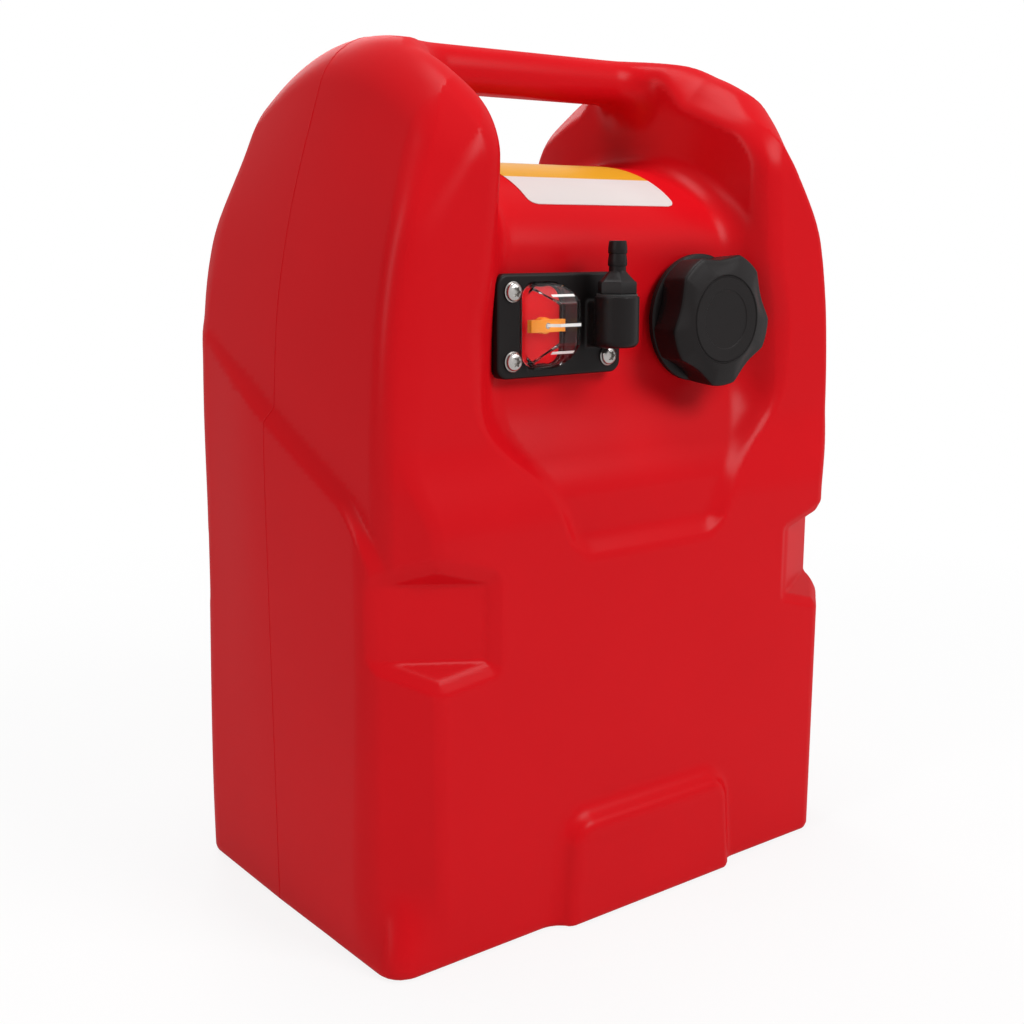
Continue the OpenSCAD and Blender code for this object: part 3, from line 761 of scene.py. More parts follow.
def saddle(y, z):
    """Side outline of the middle part: the fittings' face, an elliptical saddle, a ledge and a tongue in
    front, and a dip behind."""
    u, v = y / RECESS_HALF_D, np.maximum(z - SADDLE_EDGE_Z, 0) / SADDLE_CROWN
    ring = np.hypot(u, v)
    pull = np.maximum(np.hypot(u / RECESS_HALF_D, v / SADDLE_CROWN), 1e-6)
    block = np.where(z > SADDLE_EDGE_Z, ring * (ring - 1) / pull, np.abs(y) - RECESS_HALF_D)
    reach = HALF_D - RECESS_HALF_D
    slope = LEDGE_FALL / reach
    ledge = (z - LEDGE_Z - (y + RECESS_HALF_D) * slope) / math.hypot(1, slope)
    tongue = -y - HALF_D + TONGUE_D
    ramp = (z - TONGUE_LOW_Z - TONGUE_D + tongue) * math.sqrt(0.5)
    front = rounded_max(ledge, rounded_min(tongue, ramp, TONGUE_R), LEDGE_R)
    back = np.maximum((z - REAR_LEDGE_Z + y - RECESS_HALF_D) * math.sqrt(0.5), REAR_LEDGE_FROM - y)
    return rounded_min(block, np.where(y < 0, front, back), SADDLE_BLEND)


def middle_space(ax, ay, y, z, look):
    """Space between the shoulders: above the saddle outline and inside walls that flare towards the rim,
    less the handle bar, which runs into the walls with a wide fillet."""
    rim = smooth_steps(z, RIM_Z, RIM_HALF_W, RIM_SPREAD)
    inner = smooth_steps(z, INNER_Z, INNER_HALF_W, INNER_SPREAD)
    flare = np.clip((ay - FLARE_FROM) / (UPPER_HALF_D - FLARE_FROM), 0, FLARE_LIMIT) ** 2
    wall = (ax - inner - (rim - inner) * flare) * WALL_LEAN
    space = rounded_max(wall, -saddle(y, z), WALL_FOOT_R)
    bar = rounded_box(y, z - TANK_H, HANDLE_HALF_W, HANDLE_H, HANDLE_R)
    return rounded_max(space, -bar, look.handle_blend / MM)


def strap_notch(x, y, z):
    """Flat cut across a corner edge, with a sill that slopes down and outwards, a head that slopes up and an
    end that slopes towards the middle of the face."""
    planes = [plane_through(*ends) for ends in NOTCH_ENDS]
    normal_x = by_corner(x, y, *[plane[0][0] for plane in planes])
    normal_y = by_corner(x, y, *[plane[0][1] for plane in planes])
    depth = normal_x * np.abs(x) + normal_y * np.abs(y) - by_corner(x, y, *[plane[1] for plane in planes])
    low, high = by_corner(x, y, *SILL_SLOPE), by_corner(x, y, *HEAD_SLOPE)
    level = z - by_corner(x, y, *NOTCH_CLIMB) * (np.abs(x) - NOTCH_END_X)
    sill = (NOTCH_Z[0] - level - low * depth) / np.hypot(1, low)
    head = (level - NOTCH_Z[1] - high * depth) / np.hypot(1, high)
    end = (NOTCH_END_X - np.abs(x) - depth) * math.sqrt(0.5)
    cut = rounded_max(rounded_max(-depth, sill, NOTCH_R), head, NOTCH_R)
    return rounded_max(cut, end, NOTCH_R)


def foot_pad(x, y, z):
    """Raised pad at the foot of the front: round top corners and a sloping edge all round."""
    outline = rounded_box(x, z, PAD_HALF_W - PAD_TAPER * z, PAD_H, PAD_CORNER_R)
    proud = PAD_FRONT - HALF_D
    slope = PAD_SLOPE[0] * outline + PAD_SLOPE[1] * (-y - HALF_D)
    pad = rounded_max(slope, -y - HALF_D - proud, PAD_EDGE_R)
    return np.maximum(pad, y + HALF_D - PAD_ROOT)


def openings(x, y, z):
    """Holes behind the fittings: the filler bore, and a window behind the gauge."""
    bore = np.hypot(x - CAP_X, z - FITTINGS_Z) - NECK_R + NECK_WALL
    window = rounded_box(x - LENS_X - WINDOW_SHIFT, z - FITTINGS_Z, *WINDOW_HALF, WINDOW_R)
    depth = y - FACE_Y - OPENING_DEPTH
    return np.maximum(np.minimum(bore, window), depth)


def shell_field(look):
    """The whole shell as one field, negative inside."""
    def field(x, y, z):
        ax, ay = np.abs(x), np.abs(y)
        body = outer_form(x, y, z, look)
        high, wide, deep = [smooth_ramp(v, *run) for v, run in zip((z, ax, ay), HUMP_RUNS)]
        hump = high * wide * deep
        width = np.interp(z, RIM_RUN, (RIM_LOW_BEVEL, look.rim_bevel / MM)) + HUMP_BEVEL * hump
        r = np.interp(z, RIM_RUN, RIM_R) + HUMP_R * hump
        body = bevelled_max(body, -middle_space(ax, ay, y, z, look), width, r)
        body = bevelled_max(body, -strap_notch(x, y, z), NOTCH_BEVEL, NOTCH_BEVEL_R)
        body = rounded_min(body, foot_pad(x, y, z), PAD_FOOT_R)
        body = rounded_max(body, -z, look.foot_round / MM)
        return np.maximum(body, -openings(x, y, z))
    return field


# Places between which the shell's grid has one cell size along an axis, and the sizes' shares
GRID_X = ([-HALF_W - 5, -94, -48, 48, 94, HALF_W + 5], [1, 1.2, 2, 1.2, 1])
GRID_Y = ([-PAD_FRONT - 5, -72, -22, 22, HALF_D + 5], [1.1, 1.8, 1.4, 2.2])
GRID_Z = ([-5, 14, 134, 206, 272, 385, TANK_H + 5], [1.1, 2.5, 0.8, 1.2, 1.6, 1.3])


class OBJECT_OT_tank_shell(bpy.types.Operator):
    """Makes the moulded shell from one field of rounded faces"""

    bl_idname = "fuel_tank.shell"
    bl_label = "Tank shell"

    def execute(self, context):
        look = context.scene.fuel_tank
        cell = look.shell_cell / MM
        grids = (GRID_X, GRID_Y, GRID_Z)
        axes = [graded_axis(places, cell * np.array(shares)) for places, shares in grids]
        points, quads, normals = field_surface(shell_field(look), axes, cell)
        shell = put_mesh("tank_shell", points, quads, "tank", "red_shell", normals)
        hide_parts("tank_body")
        return {"FINISHED"}


# The parting ridge's angles about a middle point in the parting plane, and its section
RIDGE_SPAN = (-38, 218)
RIDGE_POINTS = 420
RIDGE_MIDDLE = (0, 130)
RIDGE_DEPTH = np.array([-0.8, -0.45, 0, 0.45, 0.8, 0])
RIDGE_PROUD = np.array([-0.4, 0.16, 0.24, 0.16, -0.4, -0.8])
FAR, NEAR, STRIDE, HALVINGS = 400, 60, 1, 12


def outline_radius(field, middle, angles):
    """How far the shell reaches from a middle point in the parting plane, along each angle: the outermost
    place where the field turns negative, found on a coarse run inwards and then by halving."""
    def within(reach):
        across, up = reach * np.cos(angles), reach * np.sin(angles)
        return field(middle[0] + across, 0 * across, middle[1] + up) < 0

    runs = np.arange(FAR, NEAR, -STRIDE)[:, None]
    inside = runs[np.argmax(within(runs), axis=0), 0].astype(float)
    outside = inside + STRIDE
    for _ in range(HALVINGS):
        half = (inside + outside) / 2
        hit = within(half)
        inside = np.where(hit, half, inside)
        outside = np.where(hit, outside, half)
    return inside


def parting_ridge(look):
    """Thin ridge where the mould's halves met: the shell's outline in the parting plane as a path, with a
    low rounded section swept along it."""
    angles = np.radians(np.linspace(*RIDGE_SPAN, RIDGE_POINTS))
    reach = outline_radius(shell_field(look), RIDGE_MIDDLE, angles)
    path = RIDGE_MIDDLE + reach[:, None] * np.stack([np.cos(angles), np.sin(angles)], axis=1)
    along = np.gradient(path, axis=0)
    along /= np.linalg.norm(along, axis=1, keepdims=True)
    out = np.stack([along[:, 1], -along[:, 0]], axis=1)
    place = path[:, None, :] + out[:, None, :] * RIDGE_PROUD[None, :, None]
    depth = np.broadcast_to(RIDGE_DEPTH, place.shape[:2])
    points = np.stack([place[..., 0], depth, place[..., 1]], axis=2)
    return points.reshape(-1, 3), [ring_faces(len(path), len(RIDGE_DEPTH))]


def sheet(top, bottom):
    """A closed sheet from two grids of points of the same shape."""
    rows, columns = top.shape[:2]
    r, c = np.arange(rows - 1)[:, None], np.arange(columns - 1)[None, :]
    corners = [r * columns + c, r * columns + c + 1, (r + 1) * columns + c + 1, (r + 1) * columns + c]
    upper = np.stack([q.ravel() for q in np.broadcast_arrays(*corners)], axis=1)
    count = rows * columns
    number = np.arange(count).reshape(rows, columns)
    border = np.concatenate([number[0, :-1], number[:-1, -1], number[-1, :0:-1], number[:0:-1, 0]])
    after = np.roll(border, -1)
    side = np.stack([border, border + count, after + count, after], axis=1)
    points = np.concatenate([top.reshape(-1, 3), bottom.reshape(-1, 3)])
    return points, [upper, upper[:, ::-1] + count, side]


LABEL_CORNER = 5
LABEL_INSET = 3
LABEL_POINTS = (70, 40)
FILM = 0.35


def label_sheet():
    """Film on the saddle: a strip of the saddle's ellipse with round corners, a film's thickness proud."""
    start = math.asin((LABEL_LOW[2] + LABEL_INSET - SADDLE_EDGE_Z) / SADDLE_CROWN)
    end = math.acos(-LABEL_HIGH[1] / RECESS_HALF_D)
    turn = np.linspace(start, end, LABEL_POINTS[0])
    y = -RECESS_HALF_D * np.cos(turn)
    z = SADDLE_EDGE_Z + SADDLE_CROWN * np.sin(turn)
    run = np.concatenate([[0], np.cumsum(np.hypot(np.diff(y), np.diff(z)))])
    edge = np.minimum(np.minimum(run, run[-1] - run), LABEL_CORNER)
    half = (LABEL_HIGH[0] - LABEL_LOW[0]) / 2
    half = half - LABEL_CORNER + np.sqrt(LABEL_CORNER ** 2 - (LABEL_CORNER - edge) ** 2)
    x = (LABEL_HIGH[0] + LABEL_LOW[0]) / 2 + half[:, None] * np.linspace(-1, 1, LABEL_POINTS[1])
    out = np.stack([-np.cos(turn) / RECESS_HALF_D, np.sin(turn) / SADDLE_CROWN], axis=1)
    out /= np.linalg.norm(out, axis=1, keepdims=True)
    layers = []
    for lift in (FILM, -FILM):
        along_y = np.broadcast_to((y + lift * out[:, 0])[:, None], x.shape)
        along_z = np.broadcast_to((z + lift * out[:, 1])[:, None], x.shape)
        layers.append(np.stack([x, along_y, along_z], axis=2))
    return sheet(*layers)


class OBJECT_OT_tank_trim(bpy.types.Operator):
    """Makes the parting ridge and the blank label"""

    bl_idname = "fuel_tank.trim"
    bl_label = "Ridge and label"

    def execute(self, context):
        look = context.scene.fuel_tank
        put_mesh("parting_ridge", *parting_ridge(look), "tank", "red_shell")
        film = put_mesh("blank_label", *label_sheet(), "tank", "label_film")
        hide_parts("label")
        return {"FINISHED"}


# Filler neck and cap

THREAD_PITCH = 4.5
THREAD_RISE = 1.4
# Top and slope of the tent whose clipped top is the thread's ridge
THREAD_TENT = (2.2, 5)
NECK_ROOT = 3
NECK_ROWS = 30
NECK_BORE_R = NECK_R - NECK_WALL
SCALLOP_TURN = math.radians(21.6)
SCALLOP_SHARE = 0.64
SCALLOP_POWER = 1.1


def threaded_neck():
    """Neck tube with one helical ridge: over each turn it is a clipped tent, faded out at both ends."""
    angles = round_angles(96)
    root, end = -FACE_Y - NECK_ROOT, -NECK_END
    outside = np.linspace(root, end - 0.8, NECK_ROWS)[:, None]
    turn = (outside / THREAD_PITCH - angles / (2 * math.pi)) % 1
    ridge = np.clip(THREAD_TENT[0] - THREAD_TENT[1] * np.abs(turn - 0.5), 0, 1) * THREAD_RISE
    ridge *= smooth_ramp(outside, root + 4, root + 6) * (1 - smooth_ramp(outside, end - 3, end - 1.5))
    core = NECK_R - THREAD_RISE
    rim = np.array([[core - 0.2, end - 0.3], [core - 0.8, end], [NECK_BORE_R + 0.6, end],
                    [NECK_BORE_R, end - 0.6], [NECK_BORE_R, root]])
    ones = np.ones_like(angles)
    radii = np.vstack([core + ridge, rim[:, :1] * ones])
    heights = np.vstack([outside * ones, rim[:, 1:] * ones])
    return turned(radii, heights, angles, closed=True)


def scallops(angles, look):
    """How far the cap's outline is drawn in at each angle: a parabola over a share of each pitch, raised
    to a power so that its ends run softly into the round lobes."""
    period = 2 * math.pi / look.lobe_count
    place = ((angles - SCALLOP_TURN + period / 2) % period) / (period / 2) - 1
    return look.lobe_depth / MM * np.maximum(1 - (place / SCALLOP_SHARE) ** 2, 0) ** SCALLOP_POWER


def cap_cover(look):
    """Cover of the cap: rows of (radius, height, share of the scallop) from the hollow inside, over the
    round flange at the back and the scalloped side, to the face with its ring groove."""
    angles = round_angles(44 * look.lobe_count)
    back, front = -CAP_HIGH[1], -CAP_LOW[1]
    outer = (CAP_HIGH[2] - CAP_LOW[2]) / 2
    hollow = (SLEEVE_HIGH[0] - SLEEVE_LOW[0]) / 2 + 0.2
    flange = outer - 1.5
    rows = [(0.5, front - 3.5, 0), (hollow - 1, front - 3.5, 0), (hollow, front - 4.5, 0),
            (hollow, back + 0.8, 0), (hollow + 0.8, back, 0), (flange - 0.8, back, 0),
            (flange, back + 0.7, 0), (flange, back + 3.2, 0), (flange - 0.7, back + 3.9, 0.1),
            (outer - 2, back + 4.2, 0.9), (outer - 1.2, back + 4.8, 1), (outer - 0.8, back + 9, 1),
            (outer - 0.3, back + 15, 1), (outer, front - 4.1, 1), (outer - 0.1, front - 3.4, 1),
            (outer - 0.5, front - 2.8, 1), (outer - 1.2, front - 2.5, 1), (outer - 2.4, front - 2.2, 1),
            (outer - 4, front - 1.8, 0.95), (outer - 6.5, front - 1.1, 0.65),
            (outer - 9.5, front - 0.5, 0.25), (outer - 11.3, front - 0.1, 0), (23, front, 0),
            (22.5, front - 0.55, 0), (22.1, front - 0.55, 0), (21.6, front, 0), (18, front - 0.1, 0),
            (15.4, front - 0.2, 0), (15, front - 0.55, 0), (8, front - 0.6, 0), (0.5, front - 0.6, 0)]
    table = np.array(rows)
    radii = table[:, :1] - table[:, 2:] * scallops(angles, look)
    return turned(radii, table[:, 1:2] * np.ones_like(angles), angles)


class OBJECT_OT_tank_cap(bpy.types.Operator):
    """Makes the threaded filler neck and the scalloped cap"""

    bl_idname = "fuel_tank.cap"
    bl_label = "Neck and cap"

    def execute(self, context):
        look = context.scene.fuel_tank
        at = np.array([CAP_X, 0, FITTINGS_Z])
        points, faces = threaded_neck()
        put_mesh("filler_neck", points + at, faces, "tank", "red_shell")
        points, faces = cap_cover(look)
        cover = put_mesh("cap_knob", points + at, faces, "cap", "black_plastic")
        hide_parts("cap_cover")
        return {"FINISHED"}


# Gauge and outlet

PLATE_HALF = (PLATE_HIGH - PLATE_LOW) / 2
PLATE_R = 6
PLATE_EDGE_R = 1.6
PLATE_CELL = 0.85
HOUSING_R = 11
HOUSING_HALF_H = 11.2
HOUSING_LOW = FITTINGS_Z - HOUSING_HALF_H
HOUSING_TOP = SEAL_LOW[2]
HOUSING_FOOT_R = 3.5
HOUSING_TOP_R = 0.8
WEB_HALF = 7
WEB_ROOT = 2
WEB_R = 1.5
# Half width, height and depth of the bearing's bridge
BRIDGE_HALF = (3, 19, 3)
BOSS_R = 4
SPIGOT_R = 3
SPIGOT_FROM = 1
SPIGOT_SHORT = 4
LENS_FOOT = -PLATE_FRONT + 2
LENS_FRONT = -LENS_LOW[1]
LENS_HALF_H = (LENS_HIGH[2] - LENS_LOW[2]) / 2
LENS_WALL = 1.8
LENS_R = 9
LENS_EDGE_R = 0.8
LENS_CELL = 0.5
REBATE_HALF = (13.7, 20.7)
REBATE_R = LENS_R + 0.2
REBATE_D = 2.5
DIAL_HALF = (11.5, 18.4)
DIAL_R = 7.5
DIAL_Y = (-88.6, -87)
DIAL_CELL = 0.6
SHAFT_HOLE_R = 2
# Bars on the dome: height of the half bar, widths, and how far down the slopes they lie
MARK_LIFT = 0.7
MARK_W = (1.5, 1.7)
MARK_WRAP = 0.36
MARK_DOWN = 0.34
# Star recess of the screws: mean radius and wave
STAR_R = 2.1
STAR_WAVE = 0.17
SCREW_HEAD_R = 4.5
# Edges of the lens's front facet: left, right, below and above its middle
FACET = (LENS_X - 1, LENS_X + 12.2, -8.5, 11.5)


def gauge_plate(x, y, z):
    """Plate with rounded edges, a rebate and a window for the lens, the outlet's round housing on a web, and
    at the back the shaft's bearing on its bridge and the outlet's spigot."""
    up, ahead = z - FITTINGS_Z, -y
    from_lens, from_housing = x - LENS_X, x - HOUSING_X
    outline = rounded_box(x - PLATE_X, up, PLATE_HALF[0], PLATE_HALF[2], PLATE_R)
    plate = rounded_max(outline, ahead + PLATE_FRONT, PLATE_EDGE_R)
    plate = np.maximum(plate, -ahead - PLATE_BACK)
    window = rounded_box(from_lens, up, *DIAL_HALF, DIAL_R)
    rebate = rounded_box(from_lens, up, *REBATE_HALF, REBATE_R)
    rebate = np.maximum(rebate, -ahead - PLATE_FRONT - REBATE_D)
    plate = np.maximum(plate, -np.minimum(window, rebate))
    round_part = np.hypot(from_housing, y - HOUSING_Y) - HOUSING_R
    housing = rounded_max(round_part, HOUSING_LOW - z, HOUSING_FOOT_R)
    housing = rounded_max(housing, z - HOUSING_TOP, HOUSING_TOP_R)
    web = rounded_max(np.abs(from_housing) - WEB_HALF, np.abs(up) - HOUSING_HALF_H, WEB_R)
    web = np.maximum(np.maximum(web, ahead + HOUSING_Y), -ahead - PLATE_FRONT - WEB_ROOT)
    behind, end = ahead + PLATE_BACK, -ahead - BASE_HIGH[1]
    wide, tall, deep = BRIDGE_HALF
    bridge = np.maximum(np.maximum(np.abs(from_lens) - wide, np.abs(up) - tall), np.abs(behind) - deep)
    boss = np.maximum(np.hypot(from_lens, up) - BOSS_R, np.maximum(behind - deep, end))
    spigot = np.maximum(behind - SPIGOT_FROM, end + SPIGOT_SHORT)
    spigot = np.maximum(np.hypot(from_housing, up) - SPIGOT_R, spigot)
    front = rounded_min(rounded_min(plate, web, WEB_R), housing, WEB_R)
    return np.minimum(np.minimum(front, bridge), np.minimum(boss, spigot))


def sloping_side(across, ahead, foot, tip, side):
    """Distance beyond a plane that leans from the lens's foot to the edge of its front facet."""
    rise = LENS_FRONT - LENS_FOOT
    length = math.hypot(rise, tip - foot)
    return side * ((across - foot) * rise - (ahead - LENS_FOOT) * (tip - foot)) / length


def lens_shell(x, y, z):
    """Clear dome: a hollow block with a wide slope on the left, slopes above and below, and a flat front."""
    up, ahead = z - FITTINGS_Z, -y
    form = rounded_box(x - LENS_X, up, (LENS_HIGH[0] - LENS_LOW[0]) / 2, LENS_HALF_H, LENS_R)
    slopes = [(x, LENS_LOW[0], FACET[0], -1), (x, LENS_HIGH[0], FACET[1], 1),
              (up, -LENS_HALF_H, FACET[2], -1), (up, LENS_HALF_H, FACET[3], 1)]
    for across, foot, tip, side in slopes:
        form = rounded_max(form, sloping_side(across, ahead, foot, tip, side), LENS_EDGE_R)
    form = rounded_max(form, ahead - LENS_FRONT, LENS_EDGE_R)
    wall = np.maximum(form, -form - LENS_WALL)
    return np.maximum(wall, -ahead - LENS_HIGH[1])


def red_dial(x, y, z):
    """Sheet behind the pointer that fills the plate's window, with a hole for the shaft."""
    up = z - FITTINGS_Z
    outline = rounded_box(x - LENS_X, up, *DIAL_HALF, DIAL_R)
    hole = SHAFT_HOLE_R - np.hypot(x - LENS_X, up)
    return np.maximum(np.maximum(outline, hole), np.maximum(DIAL_Y[0] - y, y - DIAL_Y[1]))


def strip_box(start, end, normal, width, thick=0.3):
    """A thin bar from start to end that lies on a face with the given normal, half sunk in it."""
    start, end = np.asarray(start, float), np.asarray(end, float)
    normal = np.asarray(normal, float) / np.linalg.norm(normal)
    aside = np.cross(normal, end - start)
    aside *= width / 2 / np.linalg.norm(aside)
    lift = normal * thick / 2
    ring = np.array([start - aside, start + aside, end + aside, end - aside])
    points = np.concatenate([ring - lift, ring + lift])
    faces = [(0, 1, 2, 3), (7, 6, 5, 4), (0, 4, 5, 1), (1, 5, 6, 2), (2, 6, 7, 3), (3, 7, 4, 0)]
    return points, [np.array(faces)]


def level_marks():
    """Plain white bars on the dome for full, half and empty; the half bar runs round onto the left slope."""
    front, rise = -LENS_FRONT, LENS_FRONT - LENS_FOOT
    left, right, below, above = FACET
    middle = FITTINGS_Z + MARK_LIFT
    start = (left, front, middle)
    turned_in = (left + MARK_WRAP * (LENS_LOW[0] - left), front + MARK_WRAP * rise, middle)
    bars = [(start, (right - 0.4, front, middle), (0, -1, 0), MARK_W[0]),
            (start, turned_in, (-rise, LENS_LOW[0] - left, 0), MARK_W[0])]
    for tip, foot, side in ((above, LENS_HALF_H, 1), (below, -LENS_HALF_H, -1)):
        level = FITTINGS_Z + tip + MARK_DOWN * (foot - tip)
        depth = front + MARK_DOWN * rise
        normal = (0, side * (tip - foot), side * rise)
        bars.append(((left - 2, depth, level), (right - 1.5, depth, level), normal, MARK_W[1]))
    return joined([strip_box(*bar) for bar in bars])


def star_screw():
    """Pan-head screw: a dome with a star recess, whose radius waves six times round, on a plain shank."""
    angles = round_angles(72)
    star = STAR_R * (1 + STAR_WAVE * np.cos(6 * angles))
    seat, end = -WASHER_LOW[1], -SCREW_HIGH[1]
    plain = [(0.4, end), (2.2, end), (2.5, end + 0.5), (2.5, seat), (4.4, seat), (4.5, seat + 0.3),
             (4.4, seat + 0.9), (4.1, seat + 1.4), (3.6, seat + 1.8), (3, seat + 2.1)]
    radii, heights = profile_rows(plain, angles.size)
    inner = np.vstack([star + 0.12, star, 0.85 * star, 0.1 * star])
    depth = np.array([2.25, 2.05, 0.5, 0.45])[:, None] + seat
    return turned(np.vstack([radii, inner]), np.vstack([heights, depth * np.ones_like(star)]), angles)


def flat_washer():
    """Washer with softened edges, as a closed tube."""
    angles = round_angles(48)
    back, front = -WASHER_HIGH[1], -WASHER_LOW[1]
    profile = [(2.8, back), (4.9, back), (5, back + 0.15), (5, front - 0.25), (4.75, front), (2.8, front)]
    return turned(*profile_rows(profile, angles.size), angles, closed=True)


def hose_fitting():
    """Outlet fitting: a hexagon, a flare with flats that turns round, a stem, two barbs and the bore."""
    angles = round_angles(96)
    corner = (FITTING_HIGH[0] - FITTING_LOW[0]) / 2
    flat = corner * math.cos(math.pi / 6)
    hexagon = flat / np.cos(angles % (math.pi / 3) - math.pi / 6)
    low, top = SEAL_HIGH[2], FITTING_HIGH[2]
    hex_rows = [(0.4, low), (0.95, low), (1, low + 0.4), (1, low + 5.5), (0.96, low + 6), (0.9, low + 6.3)]
    radii = np.vstack([share * hexagon for share, _ in hex_rows])
    heights = np.array([h for _, h in hex_rows])[:, None] * np.ones_like(angles)
    flare = np.linspace(0.2, 1, 5)[:, None]
    radii = np.vstack([radii, 0.9 * hexagon * (1 - flare) + 4.2 * flare])
    heights = np.vstack([heights, (low + 6.3 + 4.7 * flare) * np.ones_like(angles)])
    barb = (FITTING_HIGH[2] - low - 13.5) / 2
    rows = [(4.2, low + 11.6), (4.15, low + 13.3)]
    for start in (low + 13.5, low + 13.5 + barb):
        rows += [(4.6, start), (4.7, start + 0.3), (4.7, start + 0.4 * barb), (4.25, start + barb - 0.2)]
    rows += [(4, top), (2.7, top), (2.4, top - 0.3), (2.4, top - 10), (0.3, top - 10)]
    more = profile_rows(rows, angles.size)
    points, faces = turned(np.vstack([radii, more[0]]), np.vstack([heights, more[1]]), angles)
    x, y, z = points.T
    return np.stack([x + HOUSING_X, z + HOUSING_Y, -y], axis=1), faces


class OBJECT_OT_tank_gauge(bpy.types.Operator):
    """Makes the gauge's plate, dome, marks and screws, and the hose outlet"""

    bl_idname = "fuel_tank.gauge"
    bl_label = "Gauge and outlet"

    def execute(self, context):
        plate = put_field("gauge_plate", gauge_plate, BASE_LOW, BASE_HIGH, PLATE_CELL,
                          "tank", "black_plastic")
        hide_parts("gauge_base")
        dome = put_field("gauge_dome", lens_shell, LENS_LOW, LENS_HIGH, LENS_CELL, "tank", "clear_dome")
        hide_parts("gauge_lens")
        put_mesh("level_marks", *level_marks(), "tank", "label_film", material=mark_print())
        low = (LENS_X - DIAL_HALF[0], DIAL_Y[0], FITTINGS_Z - DIAL_HALF[1])
        high = (LENS_X + DIAL_HALF[0], DIAL_Y[1], FITTINGS_Z + DIAL_HALF[1])
        # The dial's finish carries a painted red glow, standing in for light through the shell
        dial_finish_with_painted_glow = dial_red_painted_glow(context.scene.fuel_tank)
        put_field("gauge_dial", red_dial, low, high, DIAL_CELL, "tank", "red_shell", dial_finish_with_painted_glow)
        places = [(x, 0, z) for x in (SCREW_LOW[0] + SCREW_HEAD_R, SCREW_HIGH[0] - SCREW_HEAD_R)
                  for z in (SCREW_LOW[2] + SCREW_HEAD_R, SCREW_HIGH[2] - SCREW_HEAD_R)]
        for name, form, node in (("pan_screws", star_screw(), "gauge_screws"),
                                 ("flat_washers", flat_washer(), "screw_washers")):
            points, faces = joined([(form[0] + np.array(at), form[1]) for at in places])
            piece = put_mesh(name, points, faces, "tank", "steel")
            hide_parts(node)
        barb = put_mesh("hose_barb", *hose_fitting(), "tank", "black_plastic")
        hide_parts("outlet_fitting")
        return {"FINISHED"}


# Stage

CAMERA_AT = (-0.46951, -0.60728, 0.34869)
CAMERA_TURN = (math.radians(78.545), 0, math.radians(-37.32))
CAMERA_LENS = 47.6
CAMERA_SENSOR = 36
CAMERA_CLIP = 0.01
WHITE = (1, 1, 1, 1)
WORLD_LIGHT = 0.2
FLOOR_HALF = 6
# Distances from the middle over which the floor turns to plain white, and its share of white there
FLOOR_FADE = (0.3, 0.9)
FLOOR_WHITE = (0.86, 1.0)
# Name, place, target, size and power of each light
LIGHTS = (("left_light", (-1.7, -0.3, 1.0), (0, 0, 0.25), (0.4, 1.3), 8),
          ("front_light", (0.6, -1.5, 1.45), (0, 0, 0.25), (0.9, 0.9), 23.5),
          ("top_light", (0.0, 0.1, 1.9), (0, 0, 0.4), (0.8, 0.8), 13),
          ("back_light", (0.5, 1.7, 1.2), (0, 0, 0.25), (0.8, 0.8), 9))


def area_light(name, at, target, size, power):
    """A soft light that faces a target."""
    lamp = bpy.data.lights.new(name, "AREA")
    lamp.shape = "RECTANGLE"
    lamp.size, lamp.size_y = size
    lamp.energy = power
    lit = new_object(name, lamp)
    lit.location = at
    lit.rotation_euler = (Vector(target) - Vector(at)).to_track_quat("-Z", "Y").to_euler()


def seen_white(tree, strength):
    """How much plain white a surface shows to the camera, to mirrors and to glass."""
    path = add_node(tree, "ShaderNodeLightPath").outputs
    seen = maths(tree, "MAXIMUM", path["Is Camera Ray"], path["Is Glossy Ray"])
    seen = maths(tree, "MAXIMUM", seen, path["Is Transmission Ray"])
    return maths(tree, "MULTIPLY", seen, strength)


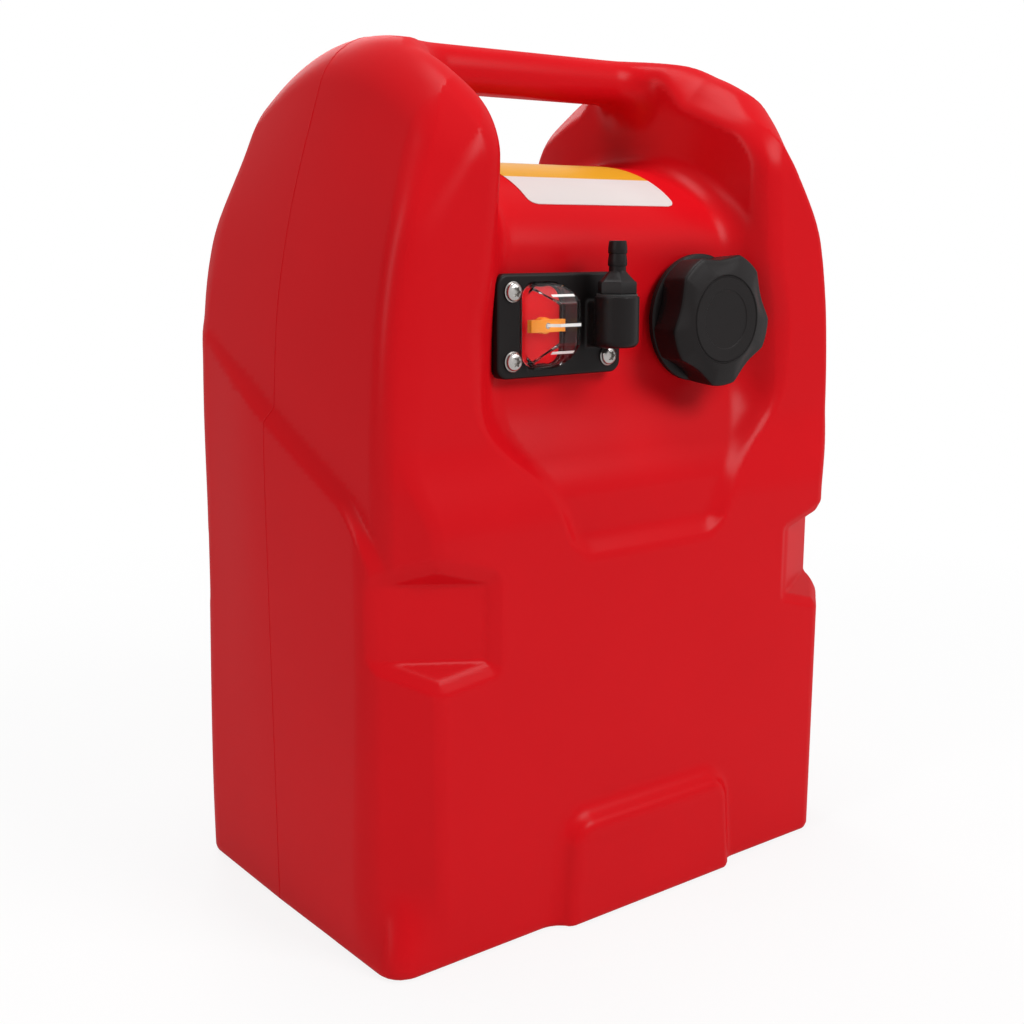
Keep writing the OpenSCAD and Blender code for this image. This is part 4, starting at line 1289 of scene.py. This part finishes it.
class OBJECT_OT_tank_stage(bpy.types.Operator):
    """Makes the pale floor, the studio lights, the world and the camera"""

    bl_idname = "fuel_tank.stage"
    bl_label = "Stage"

    def execute(self, context):
        scene = context.scene
        scene.view_settings.view_transform = "Standard"
        self.make_floor()
        self.make_world(scene)
        for light in LIGHTS:
            area_light(*light)
        camera = bpy.data.cameras.new("camera")
        camera.lens = CAMERA_LENS
        camera.sensor_width = CAMERA_SENSOR
        camera.clip_start = CAMERA_CLIP
        eye = new_object("camera", camera)
        eye.location = CAMERA_AT
        eye.rotation_euler = CAMERA_TURN
        scene.camera = eye
        return {"FINISHED"}

    def make_floor(self):
        mesh = bpy.data.meshes.new("floor")
        far = FLOOR_HALF
        corners = [(-far, -far, 0), (far, -far, 0), (far, far, 0), (-far, far, 0)]
        mesh.from_pydata(corners, [], [(0, 1, 2, 3)])
        floor = new_object("floor", mesh)
        material, tree, shader = start_material(
            "pale_floor", Base_Color=(0.86, 0.86, 0.86, 1), Roughness=0.6)
        glow = add_node(tree, "ShaderNodeEmission", {"Color": WHITE, "Strength": 1.0})
        away = add_node(tree, "ShaderNodeVectorMath", {0: object_place(tree)}, operation="LENGTH")
        share = seen_white(tree, remap(tree, away.outputs["Value"], FLOOR_FADE, FLOOR_WHITE))
        mix = add_node(tree, "ShaderNodeMixShader", {0: share, 1: shader.outputs[0], 2: glow.outputs[0]})
        tree.links.new(mix.outputs[0], tree.nodes["Material Output"].inputs["Surface"])
        mesh.materials.append(material)

    def make_world(self, scene):
        world = bpy.data.worlds.new("studio")
        world.use_nodes = True
        tree = world.node_tree
        plain = tree.nodes["Background"]
        plain.inputs["Strength"].default_value = WORLD_LIGHT
        plain.inputs["Color"].default_value = WHITE
        white = add_node(tree, "ShaderNodeBackground", {"Color": WHITE, "Strength": 1.0})
        mix = add_node(tree, "ShaderNodeMixShader",
                       {0: seen_white(tree, 1.0), 1: plain.outputs[0], 2: white.outputs[0]})
        tree.links.new(mix.outputs[0], tree.nodes["World Output"].inputs["Surface"])
        scene.world = world


class OBJECT_OT_tank_frame_finish(bpy.types.Operator):
    """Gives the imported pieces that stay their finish"""

    bl_idname = "fuel_tank.frame_finish"
    bl_label = "Finish of the packed pieces"

    def execute(self, context):
        for row in frame["record"]["subparts"]:
            piece = frame["nodes"][row["node"]]
            if piece.hide_render:
                continue
            piece.data.materials.clear()
            piece.data.materials.append(finish_of(row["material_slot"]))
        return {"FINISHED"}


OPERATORS = (OBJECT_OT_tank_shell, OBJECT_OT_tank_trim, OBJECT_OT_tank_cap, OBJECT_OT_tank_gauge,
             OBJECT_OT_tank_frame_finish, OBJECT_OT_tank_stage)


class VIEW3D_PT_fuel_tank(bpy.types.Panel):
    """Lists the steps that build the tank's looks"""

    bl_label = "Fuel Tank"
    bl_space_type = "VIEW_3D"
    bl_region_type = "UI"
    bl_category = "Fuel Tank"

    def draw(self, context):
        for step in OPERATORS:
            self.layout.operator(step.bl_idname)
        for name in FuelTankSizes.__annotations__:
            self.layout.prop(context.scene.fuel_tank, name)


CLASSES = (FuelTankSizes, *OPERATORS, VIEW3D_PT_fuel_tank)


def register():
    for item in CLASSES:
        bpy.utils.register_class(item)
    bpy.types.Scene.fuel_tank = bpy.props.PointerProperty(type=FuelTankSizes)


def unregister():
    del bpy.types.Scene.fuel_tank
    for item in reversed(CLASSES):
        bpy.utils.unregister_class(item)


def main():
    """Registers the add-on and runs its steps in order."""
    register()
    bpy.ops.fuel_tank.shell()
    bpy.ops.fuel_tank.trim()
    bpy.ops.fuel_tank.cap()
    bpy.ops.fuel_tank.gauge()
    bpy.ops.fuel_tank.frame_finish()
    bpy.ops.fuel_tank.stage()


if __name__ == "__main__":
    main()
